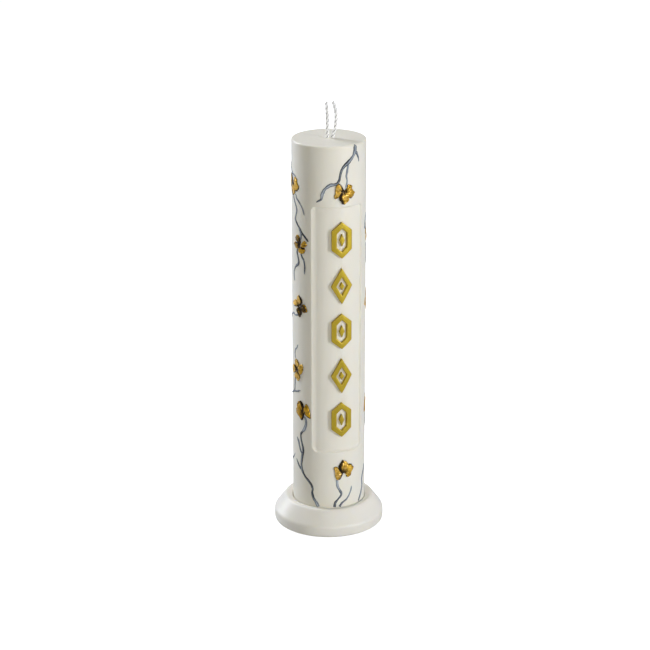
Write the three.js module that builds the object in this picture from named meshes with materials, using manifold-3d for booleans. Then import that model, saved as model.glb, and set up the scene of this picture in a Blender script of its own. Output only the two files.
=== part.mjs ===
// Ivory pillar candle with two braided wicks, standing in the seat of a round foot.
// The candle carries a shallow sunken panel with five gilt ornaments, and gilt flowers on thin painted twigs all round.
// Units are millimetres, +Z is up, and the origin is the centre of the foot's underside. The panel faces -Y, turned 16 degrees towards +X.
import * as THREE from "three";
import { mergeVertices } from "three/addons/utils/BufferGeometryUtils.js";
import Module from "manifold-3d";

const wasm = await Module();
wasm.setup();

// ---- driving dimensions ----
const CANDLE_R = 25; // the candle is 50 mm across
const CANDLE_SHOWN = 256; // height of the candle above the foot
const RIM_FILLET = 1.2; // rounding of the candle's top edge
const SEAT_DEPTH = 8; // how far the candle stands in the foot
const SEAT_R = 25.4; // the seat's radius, a loose fit on the candle
const FOOT_R = 38; // the foot is 76 mm across
const FOOT_H = 18;
const FOOT_RIDGE_R = 29.6; // edge of the flat land round the candle
const FOOT_SHOULDER = 10; // height of the sloping shoulder
const FOOT_FILLET = 2; // rounding of the foot's lower edge
const WICK_R = 1.25;
const WICK_X = [-1, 2.45]; // where the two wicks leave the wax
const WICK_BORE_R = 1.55; // the two wicks share one hole with round ends
const CLIP_R = 9; // steel wick clip pressed into the candle's underside
const CLIP_T = 0.5;
const CLIP_COLLAR = 5;
const CLEAR = 0.3; // gap between pieces that are let into each other
const PANEL_DEPTH = 1.2;
const PANEL_FROM = -28; // degrees round the candle
const PANEL_TO = 60;
const PANEL_LOW = 40; // above the foot
const PANEL_HIGH = 215;
const PANEL_CORNER = 4;
const ORNAMENT_AT = 20.5; // degrees
const ORNAMENT_Z = [192, 160, 128, 96, 64]; // centres above the foot, top to bottom
const ORNAMENT_T = 1.8;
const BACK_GAP = 0.12; // behind each applied piece
const FLOWER_T = 1.0;
const TWIG_T = 0.45;
const SIDES = 60; // facets round the candle

const FOOT_TOP = FOOT_H;
const CANDLE_BOTTOM = FOOT_TOP - SEAT_DEPTH;
const CANDLE_TOP = FOOT_TOP + CANDLE_SHOWN;
const SKIN = CANDLE_R + BACK_GAP; // radius of the back of the flowers and twigs
const DEG = Math.PI / 180;

// ---- materials ----
const WAX = new THREE.MeshStandardMaterial({ color: 0xe6e2d4, roughness: 0.42, metalness: 0 });
const FOOT = new THREE.MeshStandardMaterial({ color: 0xe6e2d6, roughness: 0.38, metalness: 0 });
const GILT = new THREE.MeshStandardMaterial({ color: 0xc8922e, roughness: 0.35, metalness: 1 });
const ORNAMENT_GILT = new THREE.MeshStandardMaterial({ color: 0xb59a2c, roughness: 0.45, metalness: 1 });
const TWIG = new THREE.MeshStandardMaterial({ color: 0x66727e, roughness: 0.55, metalness: 0 });
const COTTON = new THREE.MeshStandardMaterial({ color: 0xf4f3ef, roughness: 0.9, metalness: 0 });
const STEEL = new THREE.MeshStandardMaterial({ color: 0xb9bcc0, roughness: 0.3, metalness: 1 });

const root = new THREE.Group();
function add(name, geometry, material, parent = root) {
  const mesh = new THREE.Mesh(geometry, material);
  mesh.name = name;
  parent.add(mesh);
  return mesh;
}

// ---- solids ----
function toSolid(geometry) {
  const bare = new THREE.BufferGeometry();
  bare.setAttribute("position", geometry.getAttribute("position"));
  if (geometry.index) bare.setIndex(geometry.index);
  const merged = mergeVertices(bare, 1e-4);
  return new wasm.Manifold(
    new wasm.Mesh({
      numProp: 3,
      vertProperties: new Float32Array(merged.attributes.position.array),
      triVerts: new Uint32Array(merged.index.array),
    }),
  );
}
function toGeometry(solid) {
  const m = solid.getMesh();
  const v = new Float32Array(m.numVert * 3);
  for (let i = 0; i < m.numVert; i++)
    v.set(m.vertProperties.subarray(i * m.numProp, i * m.numProp + 3), i * 3);
  const g = new THREE.BufferGeometry();
  g.setAttribute("position", new THREE.BufferAttribute(v, 3));
  g.setIndex(new THREE.BufferAttribute(new Uint32Array(m.triVerts), 1));
  g.computeVertexNormals();
  return g;
}

// A turned solid about Z from [radius, z] points, listed from the bottom of the axis up the outside to the top of the axis.
function turned(points, sides = SIDES) {
  const g = new THREE.LatheGeometry(points.map(([r, z]) => new THREE.Vector2(r, z)), sides);
  g.rotateX(Math.PI / 2);
  return g;
}
// Rounded corner between two directions, as points on an arc.
function arc(cx, cz, r, from, to, steps) {
  const out = [];
  for (let i = 0; i <= steps; i++) {
    const a = (from + ((to - from) * i) / steps) * DEG;
    out.push([cx + r * Math.cos(a), cz + r * Math.sin(a)]);
  }
  return out;
}
// A ring between two radii and two heights.
function ring(r0, r1, z0, z1) {
  return toSolid(turned([[r0, z0], [r1, z0], [r1, z1], [r0, z1], [r0, z0]]));
}
// A flat outline of [x, y] points pushed straight through the candle's wall at an angle round it: x runs round the candle and y runs up.
function prism(outline, degrees, z, grow = 0) {
  let cx = 0, cy = 0;
  for (const [x, y] of outline) { cx += x / outline.length; cy += y / outline.length; }
  const pts = outline.map(([x, y]) => {
    const d = Math.hypot(x - cx, y - cy) || 1;
    const gx = x + ((x - cx) / d) * grow, gy = y + ((y - cy) / d) * grow;
    return new THREE.Vector2(CANDLE_R * Math.sin(gx / CANDLE_R), gy);
  });
  if (THREE.ShapeUtils.area(pts) < 0) pts.reverse();
  const g = new THREE.ExtrudeGeometry(new THREE.Shape(pts), { depth: 12, bevelEnabled: false, steps: 1 });
  g.translate(0, 0, CANDLE_R - 8);
  g.applyMatrix4(new THREE.Matrix4().makeBasis(
    new THREE.Vector3(1, 0, 0), new THREE.Vector3(0, 0, 1), new THREE.Vector3(0, -1, 0)));
  g.rotateZ(degrees * DEG);
  g.translate(0, 0, FOOT_TOP + z);
  return toSolid(g);
}
// A point on or over the candle: degrees round it, height above the foot, radius.
function onCandle(degrees, z, r) {
  return new THREE.Vector3(r * Math.sin(degrees * DEG), -r * Math.cos(degrees * DEG), FOOT_TOP + z);
}
// A closed solid from rows of points: each row is one closed section, all with the same number of points.
function lofted(rows) {
  const n = rows[0].length, pos = [], idx = [];
  rows.forEach((row) => row.forEach((p) => pos.push(p.x, p.y, p.z)));
  for (let i = 0; i + 1 < rows.length; i++)
    for (let k = 0; k < n; k++) {
      const a = i * n + k, b = i * n + ((k + 1) % n), c = a + n, d = b + n;
      idx.push(a, b, d, a, d, c);
    }
  const last = (rows.length - 1) * n;
  for (let k = 1; k + 1 < n; k++) {
    idx.push(0, k + 1, k);
    idx.push(last, last + k, last + k + 1);
  }
  const g = new THREE.BufferGeometry();
  g.setAttribute("position", new THREE.Float32BufferAttribute(pos, 3));
  g.setIndex(idx);
  return g;
}
function closed(geometry) {
  let s = toSolid(geometry);
  if (s.volume() < 0) {
    const idx = geometry.index.array;
    for (let i = 0; i < idx.length; i += 3) [idx[i + 1], idx[i + 2]] = [idx[i + 2], idx[i + 1]];
    s = toSolid(geometry);
  }
  return s;
}

// ---- the foot: a disc with a sloping shoulder, a flat land and a round seat ----
add("foot", turned([
  [0, 0],
  ...arc(FOOT_R - FOOT_FILLET, FOOT_FILLET, FOOT_FILLET, -90, 0, 3),
  ...arc(FOOT_R - 3.0, FOOT_TOP - FOOT_SHOULDER - 0.6, 3.0, 0, 40, 3),
  [FOOT_RIDGE_R + 0.9, FOOT_TOP - 0.55],
  [FOOT_RIDGE_R, FOOT_TOP],
  [SEAT_R + 0.5, FOOT_TOP - 0.1],
  [SEAT_R, FOOT_TOP - 0.6],
  [SEAT_R, CANDLE_BOTTOM],
  [0, CANDLE_BOTTOM],
], SIDES), FOOT);

const candle = new THREE.Group();
root.add(candle);

// ---- the candle: a cast pillar with the sunken panel, a wick hole and a pocket for the wick clip ----
let body = toSolid(turned([
  [0, CANDLE_BOTTOM],
  [CANDLE_R - 0.6, CANDLE_BOTTOM],
  [CANDLE_R, CANDLE_BOTTOM + 0.6],
  ...arc(CANDLE_R - RIM_FILLET, CANDLE_TOP - RIM_FILLET, RIM_FILLET, 0, 90, 3),
  [6, CANDLE_TOP - 0.15],
  [0, CANDLE_TOP - 0.3],
]));
// The panel's cutter, in upright slices round the candle so that its floor is curved like the candle.
{
  const inner = CANDLE_R - PANEL_DEPTH, outer = CANDLE_R + 3, corner = PANEL_CORNER / CANDLE_R / DEG;
  const at = [];
  for (let d = PANEL_FROM; d < PANEL_TO - 1e-6; d += 4) at.push(d);
  at.push(PANEL_TO);
  const extra = [0.12, 0.5, 1].map((k) => k * corner);
  for (const e of extra) at.push(PANEL_FROM + e, PANEL_TO - e);
  at.sort((a, b) => a - b);
  const rows = at.filter((d, i) => i === 0 || d - at[i - 1] > 0.2).map((d) => {
    const e = Math.min(d - PANEL_FROM, PANEL_TO - d, corner) / corner;
    const cut = PANEL_CORNER * (1 - Math.sqrt(Math.max(0, 1 - (1 - e) ** 2)));
    const lo = PANEL_LOW + cut, hi = PANEL_HIGH - cut;
    return [onCandle(d, lo, inner), onCandle(d, hi, inner), onCandle(d, hi, outer), onCandle(d, lo, outer)];
  });
  body = body.subtract(closed(lofted(rows)));
}
// A slot-shaped hole or plug with round ends, standing on z0: it holds both wicks.
const MID_X = (WICK_X[0] + WICK_X[1]) / 2, SPAN = (WICK_X[1] - WICK_X[0]) / 2;
function roundEnded(r, z0, z1) {
  const pts = [];
  for (let i = 0; i <= 6; i++) pts.push([MID_X + SPAN + r * Math.cos((-90 + i * 30) * DEG), r * Math.sin((-90 + i * 30) * DEG)]);
  for (let i = 0; i <= 6; i++) pts.push([MID_X - SPAN + r * Math.cos((90 + i * 30) * DEG), r * Math.sin((90 + i * 30) * DEG)]);
  const g = new THREE.ExtrudeGeometry(new THREE.Shape(pts.map(([x, y]) => new THREE.Vector2(x, y))), { depth: z1 - z0, bevelEnabled: false });
  g.translate(0, 0, z0);
  return toSolid(g);
}
function rod(x, r, z0, z1, sides = 16) {
  const g = new THREE.CylinderGeometry(r, r, z1 - z0, sides);
  g.rotateX(Math.PI / 2);
  g.translate(x, 0, (z0 + z1) / 2);
  return toSolid(g);
}
body = body.subtract(roundEnded(WICK_BORE_R, CANDLE_BOTTOM - 1, CANDLE_TOP + 1));
body = body.subtract(rod(0, CLIP_R + CLEAR, CANDLE_BOTTOM - 1, CANDLE_BOTTOM + CLIP_T + 2 * CLEAR, 48));
body = body.subtract(roundEnded(WICK_BORE_R + 0.4 + CLEAR, CANDLE_BOTTOM - 1, CANDLE_BOTTOM + CLEAR + CLIP_COLLAR + CLEAR));
add("candle_body", toGeometry(body), WAX, candle);

// ---- the wick clip: a thin steel disc with a crimped collar that holds the two wicks ----
const clip = rod(0, CLIP_R, CANDLE_BOTTOM + CLEAR, CANDLE_BOTTOM + CLEAR + CLIP_T, 48)
  .add(roundEnded(WICK_BORE_R + 0.4, CANDLE_BOTTOM + CLEAR, CANDLE_BOTTOM + CLEAR + CLIP_COLLAR))
  .subtract(roundEnded(WICK_BORE_R, CANDLE_BOTTOM - 1, CANDLE_BOTTOM + 12));
add("wick_clip", toGeometry(clip), STEEL, candle);

// ---- the wicks: whole, from the clip to the tips that stand over the wax ----
// The steps are spread evenly between the control points, so the bent tip gets more of them than the straight length in the wax.
class Wick extends THREE.CatmullRomCurve3 {
  getUtoTmapping(u) {
    return u;
  }
}
function wick(points) {
  const section = new THREE.Shape();
  for (let i = 0; i < 8; i++) {
    const a = ((i + 0.5) / 8) * 2 * Math.PI;
    if (i) section.lineTo(WICK_R * Math.cos(a), WICK_R * Math.sin(a));
    else section.moveTo(WICK_R * Math.cos(a), WICK_R * Math.sin(a));
  }
  section.closePath();
  const path = new Wick(points, false, "centripetal");
  return new THREE.ExtrudeGeometry(section, { steps: 2 * (points.length - 1), extrudePath: path, bevelEnabled: false });
}
const WICK_TIPS = [
  [[-0.9, 0, 3], [-0.86, 0, 7], [-0.86, 0.05, 11], [-0.9, 0.1, 15], [-1.1, 0.05, 19.5], [-1.45, 0, 24]],
  [[3.1, 0, 2.5], [3.9, 0, 5.5], [4.55, 0, 9], [4.85, 0, 13.5], [4.6, 0, 17.5], [3.9, 0, 21], [2.7, 0, 24.6]],
];
["wick_left", "wick_right"].forEach((name, i) => {
  const x = WICK_X[i];
  const straight = [CANDLE_BOTTOM + CLEAR, (CANDLE_BOTTOM + CANDLE_TOP) / 2, CANDLE_TOP - 6, CANDLE_TOP - 0.5];
  const points = straight.map((z) => new THREE.Vector3(x, 0, z))
    .concat(WICK_TIPS[i].map(([px, py, pz]) => new THREE.Vector3(px, py, CANDLE_TOP + pz)));
  add(name, wick(points), COTTON, candle);
});

// ---- the gilt ornaments on the panel's floor: five open frames, each with a small lozenge in it ----
const FLOOR = CANDLE_R - PANEL_DEPTH + BACK_GAP;
const hexagon = (w, h, s) => [[0, h], [w, s], [w, -s], [0, -h], [-w, -s], [-w, s]];
const lozenge = (w, h) => [[0, h], [w, 0], [0, -h], [-w, 0]];
ORNAMENT_Z.forEach((z, i) => {
  const shell = () => ring(FLOOR, FLOOR + ORNAMENT_T, FOOT_TOP + z - 15, FOOT_TOP + z + 15);
  const outer = i % 2 ? lozenge(7.6, 12.6) : hexagon(7.2, 12.6, 6.6);
  const inner = i % 2 ? lozenge(3.9, 6.5) : hexagon(3.6, 8.1, 4.8);
  const frame = prism(outer, ORNAMENT_AT, z).intersect(shell()).subtract(prism(inner, ORNAMENT_AT, z));
  add(`ornament_${i + 1}_frame`, toGeometry(frame), ORNAMENT_GILT, candle);
  const seed = prism(i % 2 ? lozenge(1.7, 2.9) : lozenge(1.9, 4.4), ORNAMENT_AT, z).intersect(shell());
  add(`ornament_${i + 1}_lozenge`, toGeometry(seed), ORNAMENT_GILT, candle);
});

// ---- the gilt flowers: petals in millimetres from the flower's middle, x round the candle and y up ----
const PETALS = {
  A: [
    [[-3.3, 6], [-4.6, 5.7], [-5.7, 3.8], [-6, 2], [-6.1, -0.5], [-6.8, -2.7], [-6.4, -4], [-5, -4], [-3.6, -3], [-2.2, -1.5], [0, 0], [0.3, 1], [-0.2, 1.8], [-1.5, 4.3], [-2.4, 5.6]],
    [[-1.1, 1], [-2.8, -0.5], [-3.5, -2.5], [-3.4, -4.5], [-2.2, -6.5], [-0.4, -8.5], [0.9, -7.8], [2.2, -7], [3.3, -5.5], [2.9, -3.5], [1.6, -1], [0.6, 0.8]],
    [[0.2, 1], [2, 1.8], [4.1, 2.5], [5.5, 2], [6.5, 0.8], [8.1, -1.3], [7, -3.3], [5.5, -4.7], [3.7, -4.5], [2.2, -3], [0.8, -1]],
    [[0.6, 0.8], [1, 1.8], [2.2, 3], [2.4, 4.4], [3.5, 4.8], [5, 4.3], [5.9, 3.8], [5.8, 2.2], [4.1, 1.5], [2, 0.6]],
  ],
  B: [
    [[-5, 3.5], [-3.3, 6.3], [-0.7, 5.5], [0.4, 3], [0.6, 0.9], [-0.6, 0.3], [-2.8, 1.3], [-4.1, 2]],
    [[-7.2, -1], [-5.4, 1], [-2.8, 0.8], [0.2, 0.6], [0.3, -0.9], [-1.1, -3], [-3.3, -3.7], [-5.4, -3.2]],
    [[6.3, 0.8], [5, 3.3], [3.3, 3], [2, 1.2], [0.1, 0.6], [0.2, -0.7], [2.6, -1.5], [5, -1]],
    [[0.5, -0.5], [3, -1.4], [4.6, -2], [4.8, -4], [3.3, -5.8], [0.7, -6.1], [-1.1, -5], [-0.9, -2.5], [-0.3, -0.6]],
  ],
  C: [
    [[-2.6, 5], [-1.3, 8], [0.9, 7.5], [3, 5.5], [3.3, 3.5], [1.9, 1.2], [0.3, 0.2], [-0.6, 2], [-1.7, 3.5]],
    [[-7.8, 1], [-6.1, 3.5], [-3.5, 4], [-1.6, 2.4], [0.2, 0.7], [-0.3, -0.5], [-3.5, -0.9], [-5.7, -1.5]],
    [[0.2, -0.2], [1, 1], [3, 2.5], [5.2, 2.7], [7, 0.5], [7.8, -2], [6.1, -3.3], [3.9, -3.2], [2, -1.6]],
    [[0.9, 0.3], [-0.9, -0.3], [-2.6, -2.5], [-1.3, -5.5], [0.2, -8], [1.7, -6.5], [2.8, -4], [2, -1.4]],
  ],
  D: [
    [[-2.8, 3.5], [-3.7, 5.5], [-1.5, 7.3], [0.7, 6], [2, 3.5], [1.2, 1.4], [0, 0.2], [-1.2, 1.8]],
    [[-0.2, 0.2], [1.4, 2.6], [3.3, 4.5], [5.5, 5], [6.1, 2], [5, -1.5], [2.8, -3.3], [0.5, -1.2]],
    [[-0.2, 0], [1.5, -1.8], [2.6, -3.2], [3, -5.5], [0.4, -8.5], [-1.1, -7], [-4.1, -5.5], [-2.4, -2.5]],
    [[0, 0.3], [-1.8, 1.4], [-3.7, 2.5], [-6.8, 1.5], [-8, -2], [-5.9, -4.2], [-2.4, -2.8], [-0.4, -0.8]],
  ],
  E: [
    [[-5.5, 3.8], [-4.1, 5.3], [-2.2, 6], [-0.2, 4.5], [1.1, 1.8], [1.3, -2], [0.4, -2.6], [-1.6, -1.6], [-3.3, -0.5], [-5.5, 1]],
    [[-6.5, 0], [-7.2, -3], [-5.7, -5], [-2.8, -6], [-1.1, -8], [0.2, -6.5], [0.9, -3.5], [0.6, -1.6], [-2, -0.6], [-3.7, 0.3]],
    [[0.9, -1], [1.7, 2.5], [2.8, 5], [4.4, 4], [5.7, 1], [6.3, -2], [6.3, -5], [4.6, -4.5], [2, -3], [0.7, -2]],
  ],
};
// [name, petals, degrees round the candle, height above the foot, flip x, flip y]
const FLOWERS = [
  ["flower_front_top", "A", 23.5, 225, 1, 1],
  ["flower_front_bottom", "A", 23.5, 25.5, 1, -1],
  ["flower_left_1", "A", -70, 227.5, 1, 1],
  ["flower_left_2", "B", -49.5, 187, 1, 1],
  ["flower_left_3", "C", -52, 143, 1, 1],
  ["flower_left_4", "D", -57.5, 97, 1, 1],
  ["flower_left_5", "E", -44.5, 69, 1, 1],
  ["flower_right_1", "B", 91, 191.5, -1, 1],
  ["flower_right_2", "C", 91, 143.5, -1, 1],
  ["flower_right_3", "E", 90, 68, -1, 1],
  ["flower_right_4", "A", 126, 232, -1, 1],
  ["flower_right_5", "D", 125, 104, -1, 1],
  ["flower_back_1", "A", 196, 228, 1, 1],
  ["flower_back_2", "D", 176, 190, 1, 1],
  ["flower_back_3", "C", 206, 150, -1, 1],
  ["flower_back_4", "B", 178, 112, 1, 1],
  ["flower_back_5", "E", 200, 70, -1, 1],
  ["flower_back_6", "A", 166, 30, -1, -1],
  ["flower_back_7", "B", 140, 166, 1, -1],
  ["flower_back_8", "D", 228, 112, -1, 1],
  ["flower_back_9", "C", 232, 176, 1, 1],
  ["flower_back_10", "A", 237, 38, 1, -1],
];
function petalsOf([, kind, degrees, z, fx, fy], grow) {
  let s = null;
  for (const outline of PETALS[kind]) {
    const p = prism(outline.map(([x, y]) => [x * fx, y * fy]), degrees, z, grow);
    s = s ? s.add(p) : p;
  }
  return s;
}
for (const f of FLOWERS) {
  const shell = ring(SKIN, SKIN + FLOWER_T, FOOT_TOP + f[3] - 10, FOOT_TOP + f[3] + 10);
  add(f[0], toGeometry(petalsOf(f, 0.1).intersect(shell)), GILT, candle);
}

// ---- the twigs: [degrees, height above the foot, width] along each stem, then its side shoots ----
const TWIGS = {
  twig_front_top: [
    [[43, 255, 2.6], [43.4, 252.8, 2.9], [42.2, 250.6, 2.4], [38.5, 248, 1.8], [34, 246, 2.2], [28.5, 244, 2.5], [23.5, 242.3, 1.9], [20, 240.2, 1.6], [18, 237.5, 1.3], [16.8, 235, 1.3], [15.2, 232.6, 1.3], [12.5, 231.1, 1.5], [8, 230.5, 1.8], [3, 230.2, 2.1], [-1, 229.3, 2], [-4.5, 228, 1.6], [-7.5, 226.4, 1.8], [-9.6, 224.4, 2], [-10.6, 222, 1.5], [-12, 220.3, 1.1], [-15.5, 219.3, 1], [-19.5, 218.2, 0.8]],
    [[43.6, 251.6, 2], [47, 249.8, 1.5], [49.4, 247.8, 1.2], [51, 245.8, 0.9], [52.3, 243.6, 0.6]],
    [[30, 244.4, 1.4], [30.2, 241.8, 1.3], [28.6, 238.6, 1.2], [27.6, 235.4, 1.1], [28.8, 232.6, 0.9], [28, 230.4, 0.8], [26.3, 227.6, 0.7]],
  ],
  twig_left_crown: [
    [[-93, 239.5, 0.7], [-84, 237.2, 0.9], [-76, 234.6, 1], [-70.5, 233.6, 1.1], [-66, 233.2, 1], [-60, 232.4, 0.8]],
  ],
  twig_left_1: [
    [[-69, 219.4, 0.9], [-65, 215.6, 0.9], [-59.5, 212.2, 1], [-58.2, 209.8, 1.1], [-60.5, 206.4, 1.1], [-62.2, 203.4, 1.4], [-59.5, 201.6, 1.4], [-55, 199.6, 1.3], [-50.5, 197.6, 1.9], [-46.5, 195.3, 1.6], [-42.5, 194.2, 1.2], [-38, 192.4, 1.2], [-32.5, 190.2, 0.9]],
    [[-50, 197.6, 1.7], [-47.8, 195.4, 1.9], [-47.6, 192.6, 1.5], [-49, 189.6, 1.1]],
  ],
  twig_left_1b: [
    [[-62, 221, 0.7], [-57.5, 217.8, 1], [-53.5, 216.6, 1.1], [-48.5, 214.6, 0.9], [-44.5, 212.4, 0.9], [-42, 210, 1], [-40.4, 207.8, 0.7]],
  ],
  twig_left_2a: [
    [[-56, 184.5, 1], [-57.6, 181, 1.2], [-55.6, 178, 1.3], [-53.6, 174.6, 1.4], [-55, 172.6, 1.5], [-60, 171, 1.3], [-65, 168.6, 1.1], [-68, 166, 0.9], [-68.4, 163, 0.7], [-66, 159.6, 0.6]],
  ],
  twig_left_2b: [
    [[-48.8, 182, 0.9], [-46.2, 179, 1.2], [-42, 176.6, 1.1], [-40.2, 173.6, 1.1], [-40, 170.2, 0.9], [-41, 166.8, 0.7]],
  ],
  twig_left_3: [
    [[-98, 128.5, 0.8], [-90, 131.3, 0.9], [-80, 134.4, 1], [-71, 136, 1.2], [-65, 135.5, 1], [-58, 136.3, 1], [-53, 136.6, 0.8]],
  ],
  twig_left_4a: [
    [[-56.5, 115.2, 0.5], [-60, 112.6, 0.7], [-65, 110.4, 0.8], [-66.2, 107, 0.7], [-64.6, 103.6, 0.6]],
  ],
  twig_left_4b: [
    [[-66.5, 91.6, 0.9], [-67, 87.5, 1], [-67.6, 83.6, 1], [-70, 79.8, 1.1], [-80, 77.4, 1], [-92, 75.2, 0.8], [-102, 75.8, 0.6]],
    [[-70, 79.6, 1], [-62, 80.4, 1.1], [-55.5, 81.6, 1], [-50.5, 82.7, 0.6]],
  ],
  twig_left_5: [
    [[-43, 64.5, 1.2], [-39.2, 62.6, 1.6], [-38.4, 60, 1.6], [-39.8, 57, 1.9], [-42.8, 54.5, 2], [-47, 52.4, 1.4], [-50, 50.4, 1.3], [-49.8, 47.4, 1.3], [-47.2, 43.8, 1.4], [-45, 40.4, 1.5], [-45, 37.4, 1.7], [-46.8, 34.8, 2], [-48.2, 31.2, 1.7], [-49, 27.8, 1.7], [-48, 24.6, 1.9], [-44, 21.6, 1.6], [-40, 19.6, 1.5], [-34, 17.4, 1.5], [-29, 15, 1.5], [-26.6, 12, 1.3], [-27, 9.4, 1.3], [-26.3, 6.8, 1.5], [-23.5, 4.2, 1.8], [-20, 2, 2.1], [-17, 0.6, 2]],
    [[-61, 47, 0.9], [-57, 44.8, 1.4], [-54, 41.5, 1.4], [-51, 38.2, 1.3], [-47, 36, 1.6]],
    [[-63, 30.4, 0.6], [-58.5, 28, 1.1], [-54, 25.6, 1.5], [-48.5, 23.9, 1.7]],
  ],
  twig_left_6: [
    [[-98, 23, 0.8], [-90, 26.3, 0.9], [-81, 28.2, 1], [-73, 30.6, 0.8], [-68, 33.4, 0.5]],
  ],
  twig_front_bottom_a: [
    [[13.6, 20.5, 1], [13.2, 17.6, 1.5], [13.9, 15.2, 1.5], [16, 12.8, 1.4], [18.6, 10.8, 1.5], [20.4, 8.8, 1.3], [18.2, 6.6, 1.1], [14.2, 4.6, 1.1], [10.8, 2.9, 1.4], [9.4, 0.6, 1.6]],
  ],
  twig_front_bottom_b: [
    [[38.8, 13.2, 0.6], [38.4, 11.2, 0.9], [36, 8.4, 1], [32.6, 5.6, 1], [28.4, 3.7, 1], [24, 2.6, 1.1], [20.6, 1.4, 1.3], [18.6, 0.5, 1.3]],
  ],
  twig_right_bottom: [
    [[78, 24, 0.8], [74, 20.6, 1.1], [69, 17.8, 1.5], [66.4, 14.2, 1.3], [67, 9.8, 1.4], [65, 6.2, 1.4], [60.6, 2.9, 1.5], [57, 0.8, 1.4]],
  ],
  twig_right_1: [
    [[83, 206, 0.7], [78, 203.4, 1], [74.2, 199.6, 1.3], [74.6, 196.6, 1.2], [79, 194, 0.9]],
    [[74.4, 198, 1], [71, 195.4, 1]],
  ],
  twig_right_2: [
    [[86, 184.5, 0.9], [90, 180, 1.2], [88, 175, 1.2], [92, 170.6, 1], [98, 167.4, 0.8], [101, 162.6, 0.6]],
  ],
  twig_right_3: [
    [[94, 62, 1.1], [90, 58, 1.4], [92, 53.6, 1.6], [98, 49.6, 1.4], [102, 44.4, 1.4], [100, 38.4, 1.7], [103, 32, 1.6], [110, 26, 1.5], [118, 20.4, 1.5], [121, 13.4, 1.4], [117, 6.4, 1.7], [114, 0.8, 1.8]],
    [[100.4, 39, 1.4], [107, 43, 1.2], [112, 48.6, 1], [113, 53.4, 0.6]],
  ],
  twig_right_4: [
    [[124, 225, 1], [120, 220.6, 1.1], [122, 215.4, 1.2], [129, 211.4, 1.4], [135, 206.6, 1.3], [136, 200.4, 1], [140, 195, 0.7]],
    [[128, 212, 1.2], [133, 215, 0.9], [139, 216.6, 0.6]],
  ],
  twig_back_1: [
    [[192, 221, 1.1], [186, 216.4, 1.3], [184, 210.6, 1.5], [188, 205.4, 1.4], [186, 199.4, 1.2], [180, 196.4, 1]],
    [[187.6, 205.8, 1.3], [195, 203, 1.2], [202, 200.4, 1], [207, 195, 0.7]],
  ],
  twig_back_2: [
    [[203, 143, 1.1], [199, 138, 1.3], [201, 131.6, 1.4], [196, 126, 1.4], [189, 121.6, 1.2], [183, 117.6, 1]],
    [[200.4, 131, 1.2], [206, 126.4, 1], [209, 120, 0.7]],
  ],
  twig_back_3: [
    [[200, 63, 1.2], [205, 58.6, 1.5], [203, 52.6, 1.6], [197, 47.4, 1.5], [196, 41, 1.7], [199, 34.6, 1.6], [205, 28.6, 1.5], [207, 21.6, 1.5], [203, 14.6, 1.5], [205, 7.6, 1.8], [209, 0.8, 2]],
    [[196.6, 41.6, 1.4], [190, 45.4, 1.2], [184, 51, 0.9], [182, 56.6, 0.6]],
    [[204.6, 29, 1.3], [212, 32, 1.1], [218, 37, 0.7]],
  ],
  twig_back_4: [
    [[172, 24.6, 1.1], [174, 19.6, 1.4], [170, 14.6, 1.3], [165, 9, 1.3], [167, 3.6, 1.5], [169, 0.8, 1.5]],
  ],
};
function stem(stations) {
  const dense = [];
  const curve = new THREE.CatmullRomCurve3(
    stations.map(([d, z, w]) => new THREE.Vector3(d * DEG * CANDLE_R, z, w)), false, "centripetal");
  const steps = Math.max(3, Math.round(curve.getLength() / 2.4));
  for (let i = 0; i <= steps; i++) dense.push(curve.getPoint(i / steps));
  const rows = dense.map((p, i) => {
    const a = dense[Math.max(0, i - 1)], b = dense[Math.min(dense.length - 1, i + 1)];
    const len = Math.hypot(b.x - a.x, b.y - a.y), nx = -(b.y - a.y) / len, ny = (b.x - a.x) / len;
    return [[-0.5, 0], [-0.27, 1], [0.27, 1], [0.5, 0]].map(([k, h]) =>
      onCandle((p.x + nx * k * p.z) / CANDLE_R / DEG, p.y + ny * k * p.z, SKIN + h * TWIG_T));
  });
  return closed(lofted(rows));
}
const keepOff = FLOWERS.map((f) => [f, petalsOf(f, CLEAR + 0.1)]);
for (const [name, stems] of Object.entries(TWIGS)) {
  let s = stem(stems[0]);
  for (const side of stems.slice(1)) s = s.add(stem(side));
  for (const [f, petals] of keepOff)
    if (stems.some((st) => st.some(([d, z]) => Math.abs(z - f[3]) < 16 && Math.abs(((d - f[2] + 540) % 360) - 180) < 40)))
      s = s.subtract(petals);
  const [main] = s.decompose().sort((a, b) => b.volume() - a.volume());
  add(name, toGeometry(main), TWIG, candle);
}

export default root;
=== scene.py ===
"""Looks for an ivory pillar candle in a round foot: fine meshes for every CAD node, procedural materials, soft studio light."""
import bpy
import bmesh
import math
import numpy as np
from mathutils import Matrix, Vector, geometry, noise


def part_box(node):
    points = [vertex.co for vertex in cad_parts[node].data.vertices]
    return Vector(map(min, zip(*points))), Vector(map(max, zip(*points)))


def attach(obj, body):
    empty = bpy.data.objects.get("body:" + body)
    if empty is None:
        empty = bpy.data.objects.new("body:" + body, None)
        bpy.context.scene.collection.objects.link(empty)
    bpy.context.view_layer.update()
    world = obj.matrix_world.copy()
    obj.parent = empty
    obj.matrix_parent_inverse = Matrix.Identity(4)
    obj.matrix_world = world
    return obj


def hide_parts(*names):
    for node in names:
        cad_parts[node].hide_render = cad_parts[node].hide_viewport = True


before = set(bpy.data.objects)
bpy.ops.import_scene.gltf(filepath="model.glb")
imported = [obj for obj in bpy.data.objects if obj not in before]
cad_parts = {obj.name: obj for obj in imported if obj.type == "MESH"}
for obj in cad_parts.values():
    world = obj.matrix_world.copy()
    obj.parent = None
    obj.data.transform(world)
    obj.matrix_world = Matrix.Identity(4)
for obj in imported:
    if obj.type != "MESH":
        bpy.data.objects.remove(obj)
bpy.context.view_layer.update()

MM = 0.001
DEG = math.pi / 180
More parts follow.
